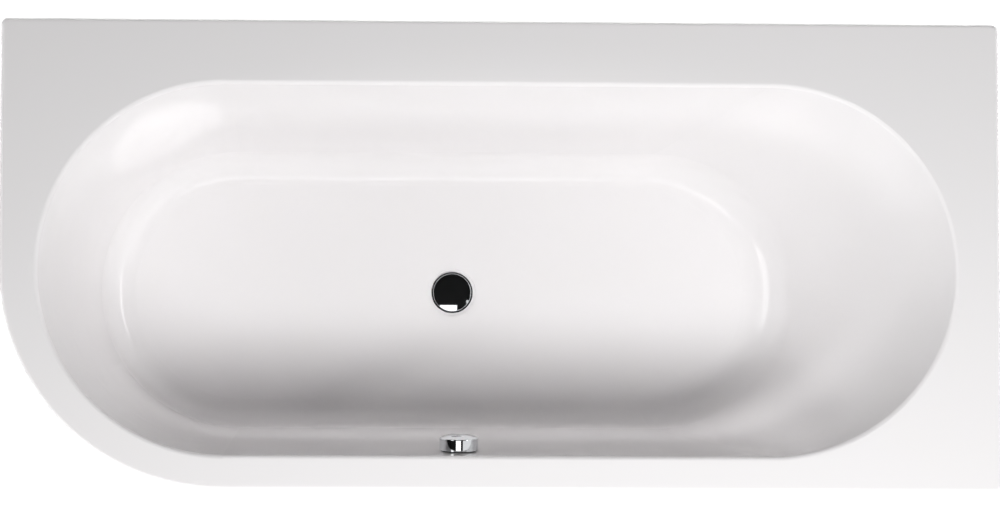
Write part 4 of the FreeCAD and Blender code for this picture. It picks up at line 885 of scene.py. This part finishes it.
@dataclass
class FoldedRail(Assembly):
    """One rail of the cradle: zinc-dipped sheet folded to a channel, open below, with a hole at each leg."""

    name: str
    leg_names: tuple[str, ...]
    sheet: float = 2.0
    fold: float = 4.0
    fold_steps: int = 5
    hole_radius: float = 5.2
    hole_room: float = 12.0
    hole_steps: int = 32

    def build(self) -> None:
        """Punch the web, fold the flanges down, round the folds and give the sheet its thickness."""
        low, high = millimetres(self.name)
        middle = middle_of(self.name)
        bm = bmesh.new()
        bmesh.ops.create_grid(bm, x_segments=1, y_segments=1, size=0.5)
        bmesh.ops.scale(bm, vec=(high.x - low.x, high.y - low.y, 1.0), verts=bm.verts)
        bmesh.ops.translate(bm, vec=(middle.x, middle.y, high.z), verts=bm.verts)
        for name in self.leg_names:
            self.punch(bm, Vector((middle.x, middle_of(f"leg_stud_{name}").y, high.z)))
        sides = (2 * low.x, 2 * high.x)
        folds = [edge for edge in bm.edges
                 if any(abs(sum(vert.co.x for vert in edge.verts) - side) < WELD_MM for side in sides)]
        flanges = only(Vert, bmesh.ops.extrude_edge_only(bm, edges=folds)["geom"])
        bmesh.ops.translate(bm, vec=(0.0, 0.0, low.z - high.z), verts=flanges)
        bmesh.ops.recalc_face_normals(bm, faces=bm.faces)
        bmesh.ops.bevel(bm, geom=folds, offset=self.fold, affect="EDGES", segments=self.fold_steps,
                        profile=0.5, material=-1)
        bmesh.ops.solidify(bm, geom=bm.faces[:], thickness=self.sheet)
        self.keep(bm, f"folded_{self.name}", "tub", Slot.GALVANISED_STEEL, self.name)

    def punch(self, bm: Mesh, centre: Vector) -> None:
        """Cut one round hole in the flat web.

        Args:
            bm: The web.
            centre: Middle of the hole.
        """
        for side in (-self.hole_room, self.hole_room):
            bmesh.ops.bisect_plane(bm, geom=whole(bm), dist=WELD_MM, plane_co=(0.0, centre.y + side, 0.0),
                                   plane_no=(0.0, 1.0, 0.0))
        patch = next(face for face in bm.faces
                     if abs(face.calc_center_median().y - centre.y) < self.hole_radius)
        rim = patch.edges[:]
        bmesh.ops.delete(bm, geom=[patch], context="FACES_ONLY")
        hole = bmesh.ops.create_circle(bm, segments=self.hole_steps, radius=self.hole_radius,
                                       matrix=Matrix.Translation(centre))["verts"]
        ring = dict.fromkeys(edge for vert in hole for edge in vert.link_edges)
        bmesh.ops.bridge_loops(bm, edges=[*rim, *ring])


# Studio

@dataclass(frozen=True)
class Lamp:
    """A lamp that faces a point; the camera itself never sees it."""

    name: str
    place: Triple
    aim: Triple
    watts: float
    reach: Reach

    def make_light(self) -> bpy.types.Light:
        """Make the light itself, which a subclass shapes."""
        raise NotImplementedError

    def set_up(self) -> bpy.types.Object:
        """Stand the lamp in the studio.

        Returns:
            The lamp's object.
        """
        light = self.make_light()
        light.energy = self.watts
        lamp = bpy.data.objects.new(self.name, light)
        lamp.location = self.place
        lamp.rotation_euler = (Vector(self.aim) - Vector(self.place)).to_track_quat("-Z", "Y").to_euler()
        lamp.visible_camera = False
        lamp.visible_glossy = self.reach is not Reach.MATT
        lamp.visible_diffuse = self.reach is not Reach.GLOSS
        bpy.context.scene.collection.objects.link(lamp)
        return lamp


@dataclass(frozen=True)
class SoftBox(Lamp):
    """A rectangular soft lamp, with its width and height."""

    size: tuple[float, float]

    def make_light(self) -> bpy.types.Light:
        """Make a rectangular area light.

        Returns:
            The light.
        """
        light = bpy.data.lights.new(self.name, "AREA")
        light.shape = "RECTANGLE"
        light.size, light.size_y = self.size
        return light


@dataclass(frozen=True)
class Beam(Lamp):
    """A narrow beam: how soft its rim is, the radius of its bulb, and how much wider it is than high."""

    blend: float
    bulb: float
    flatness: float
    spread_deg: float = 4.2

    def make_light(self) -> bpy.types.Light:
        """Make a spot light.

        Returns:
            The light.
        """
        light = bpy.data.lights.new(self.name, "SPOT")
        light.spot_size = math.radians(self.spread_deg)
        light.spot_blend = self.blend
        light.shadow_soft_size = self.bulb
        return light

    def set_up(self) -> bpy.types.Object:
        """Stand the lamp in the studio and draw its beam out sideways.

        Returns:
            The lamp's object.
        """
        lamp = super().set_up()
        lamp.scale.x = self.flatness
        return lamp


LAMPS: tuple[Lamp, ...] = (
    # Key over the front, and fills from three sides
    SoftBox("front_key", (0.6, -1.62, 3.3), (0.0, 0.0, 0.4), 110, Reach.MATT, size=(3.4, 0.4)),
    SoftBox("foot_fill", (-4.5, 0.3, 1.75), (0.5, 0.0, 0.35), 46, Reach.MATT, size=(2.0, 1.6)),
    SoftBox("front_fill", (0.3, -4.0, 1.8), (0.2, 0.0, 0.5), 29, Reach.MATT, size=(3.0, 0.8)),
    SoftBox("back_fill", (0.3, 4.2, 1.8), (0.2, 0.0, 0.5), 16, Reach.MATT, size=(3.0, 0.8)),
    # Strips that only mirror, as lines along the rounding of the floor
    SoftBox("back_gleam", (-0.28, -1.05, 3.4), (-0.28, -0.1, 0.2), 5.4, Reach.GLOSS, size=(1.45, 0.54)),
    SoftBox("foot_gleam", (1.97, 0.51, 2.45), (-0.66, -0.05, 0.2), 8.2, Reach.GLOSS, size=(1.5, 0.5)),
    SoftBox("head_gleam", (-1.69, 0.16, 2.54), (0.48, -0.03, 0.2), 8.5, Reach.GLOSS, size=(1.5, 0.7)),
    # A round beam on the foot end, as through a window, and a flat one along the front wall
    Beam("window_beam", (0.9, -2.2, 2.2), (-0.58, 0.228, 0.43), 52, Reach.MATT,
         blend=0.5, bulb=0.01, flatness=1.0),
    Beam("wall_beam", (0.0, 2.3, 2.03), (0.0, -0.31, 0.30), 95, Reach.MATT,
         blend=1.0, bulb=0.05, flatness=8.0),
    # Low lamps all round, which light the underside
    SoftBox("low_front", (0.0, -2.4, 0.32), (0.0, 0.0, 0.3), 22, Reach.ALL, size=(2.2, 0.4)),
    SoftBox("low_back", (0.0, 2.4, 0.32), (0.0, 0.0, 0.3), 22, Reach.ALL, size=(2.2, 0.4)),
    SoftBox("low_foot", (-2.9, 0.0, 0.32), (0.0, 0.0, 0.3), 22, Reach.ALL, size=(2.2, 0.4)),
    SoftBox("low_head", (2.9, 0.0, 0.32), (0.0, 0.0, 0.3), 22, Reach.ALL, size=(2.2, 0.4)),
)

# Cloths of the black flag: the ends of the edge that each hangs from, and the ways that it runs from there
FLAG_CLOTHS = (
    (((1.9, -5.0, 5.0), (1.9, 5.0, 5.0)), ((-7.5, 0.0, 0.0), (0.0, 0.0, -4.2))),
    (((1.9, -0.5, 5.0), (1.9, 5.0, 5.0)), ((2.6, 0.0, 0.0),)),
    (((-5.6, 5.0, 5.0), (4.5, 5.0, 5.0)), ((0.0, 0.0, -4.2),)),
)


@dataclass
class Studio:
    """Floor, flag, lamps, world and camera.

    The floor glows, less so inside a soft-edged frame under the tub: that is painted shade under the tub, and
    it lets the tub's real shadow show there.
    """

    floor_size: float = 80.0
    floor_colour: str = "C8C8C8"
    flag_colour: str = "050505"
    # Glow inside the frame under the tub, lower than the glow beside it: painted shade under the tub
    painted_shade_glow: float = 0.25
    glow_beside: float = 0.88
    shade_frame_x: tuple[float, float] = (0.45, 0.95)
    shade_frame_y: tuple[float, float] = (0.15, 0.50)
    world_light: float = 0.02
    camera_place: Triple = (-0.357, -0.832, 8.600)
    camera_turn_deg: Triple = (5.9, -2.54, 0.05)
    camera_reach: float = 200.0
    focal_px: float = 4750.0
    image_width_px: float = 1000.0
    sensor_mm: float = 36.0

    def build(self) -> None:
        """Set up the whole studio."""
        self.make_camera()
        self.make_world()
        self.make_floor()
        self.make_flag()
        for lamp in LAMPS:
            lamp.set_up()
        bpy.context.scene.view_settings.view_transform = "Standard"

    def make_camera(self) -> None:
        """Camera high above the tub, a little to the front and the foot end."""
        data = bpy.data.cameras.new("camera")
        data.sensor_fit = "HORIZONTAL"
        data.sensor_width = self.sensor_mm
        data.lens = self.focal_px / self.image_width_px * self.sensor_mm
        data.clip_end = self.camera_reach
        camera = bpy.data.objects.new("camera", data)
        camera.location = self.camera_place
        camera.rotation_euler = Euler([math.radians(angle) for angle in self.camera_turn_deg])
        bpy.context.scene.collection.objects.link(camera)
        bpy.context.scene.camera = camera

    def seen(self, tree: Tree) -> Socket:
        """Tell what is seen from what only lights the object.

        Args:
            tree: Node tree that asks.
        Returns:
            1 for what the camera, metal and glass see, and 0 for what lights the object.
        """
        path = add(tree, "LightPath").outputs
        mirrored = add(tree, "Math", {0: path["Is Glossy Ray"], 1: path["Is Transmission Ray"]},
                       operation="MAXIMUM").outputs[0]
        return add(tree, "Math", {0: path["Is Camera Ray"], 1: mirrored}, operation="MAXIMUM").outputs[0]

    def make_world(self) -> None:
        """White surroundings that light the object only a little."""
        world = bpy.data.worlds.new("studio_world")
        world.use_nodes = True
        bpy.context.scene.world = world
        tree = world.node_tree
        strength = add(tree, "MapRange",
                       {"Value": self.seen(tree), "To Min": self.world_light, "To Max": 1.0})
        tree.links.new(strength.outputs["Result"], tree.nodes["Background"].inputs["Strength"])
        tree.nodes["Background"].inputs["Color"].default_value = (1, 1, 1, 1)

    def matt(self, name: str, colour: str) -> bpy.types.Material:
        """Make a plain matt material.

        Args:
            name: Name of the material.
            colour: Its hex colour.
        Returns:
            The material.
        """
        made = bpy.data.materials.new(name)
        made.use_nodes = True
        shader = made.node_tree.nodes["Principled BSDF"]
        shader.inputs["Base Color"].default_value = linear(colour)
        shader.inputs["Roughness"].default_value = 1.0
        return made

    def make_floor(self) -> None:
        """Pale floor that shows white, glows less under the tub as painted shade, and takes the tub's real
        shadow there.
        """
        bm = bmesh.new()
        bmesh.ops.create_grid(bm, x_segments=1, y_segments=1, size=self.floor_size / 2)
        floor = make_object(bm, "studio_floor")
        made = self.matt("matt_studio_floor", self.floor_colour)
        tree = made.node_tree
        shader = tree.nodes["Principled BSDF"]
        shader.inputs["Specular IOR Level"].default_value = 0.0
        shader.inputs["Emission Color"].default_value = (1, 1, 1, 1)
        place = add(tree, "SeparateXYZ", {0: add(tree, "TexCoord").outputs["Object"]})
        # Less glow inside the frame under the tub paints shade there, where the tub's real shadow also falls
        glows = []
        for axis, (inner, outer) in {"X": self.shade_frame_x, "Y": self.shade_frame_y}.items():
            away = add(tree, "Math", {0: place.outputs[axis]}, operation="ABSOLUTE").outputs[0]
            past = add(tree, "MapRange", {"Value": away, "From Min": inner, "From Max": outer,
                                          "To Min": self.painted_shade_glow, "To Max": self.glow_beside},
                       interpolation_type="SMOOTHSTEP")
            glows.append(past.outputs["Result"])
        beside = add(tree, "Math", {0: glows[0], 1: glows[1]}, operation="MAXIMUM").outputs[0]
        glow = add(tree, "Math", {0: self.seen(tree), 1: beside}, operation="MULTIPLY")
        tree.links.new(glow.outputs[0], shader.inputs["Emission Strength"])
        floor.data.materials.append(made)

    def make_flag(self) -> None:
        """Black studio flag over the tub and round it, which only polished metal and gloss mirror."""
        bm = bmesh.new()
        for ends, ways in FLAG_CLOTHS:
            rim = [bm.edges.new([bm.verts.new(end) for end in ends])]
            for way in ways:
                grown = bmesh.ops.extrude_edge_only(bm, edges=rim)["geom"]
                bmesh.ops.translate(bm, vec=way, verts=only(Vert, grown))
                rim = only(Edge, grown)
        flag = make_object(bm, "studio_flag")
        flag.data.materials.append(self.matt("black_flag_cloth", self.flag_colour))
        flag.visible_camera = False
        flag.visible_diffuse = False
        flag.visible_shadow = False


def dress_nodes() -> None:
    """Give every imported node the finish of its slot."""
    for row in frame["record"]["subparts"]:
        finish = CROSS_GRAIN if row["node"] == "end_rim_batten" else FINISHES[Slot(row["material_slot"])]
        for slot in frame["nodes"][row["node"]].material_slots:
            slot.material = finish.material()
        log.info("%s: %s", row["node"], finish.name)


def main() -> None:
    """Build the scene piece by piece."""
    logging.basicConfig(level=logging.INFO, format="%(name)s: %(message)s")
    dress_nodes()
    for name in LEG_NAMES:
        LevellingLeg(name).build()
    for end in ("foot_end", "head_end"):
        FoldedRail(f"{end}_rail", (f"front_{end}", f"back_{end}")).build()
    CradleFixings(LEG_NAMES).build()
    WasteRing().build()
    for ring in GRIP_RINGS:
        ring.build()
    Studio().build()


if __name__ == "__main__":
    main()
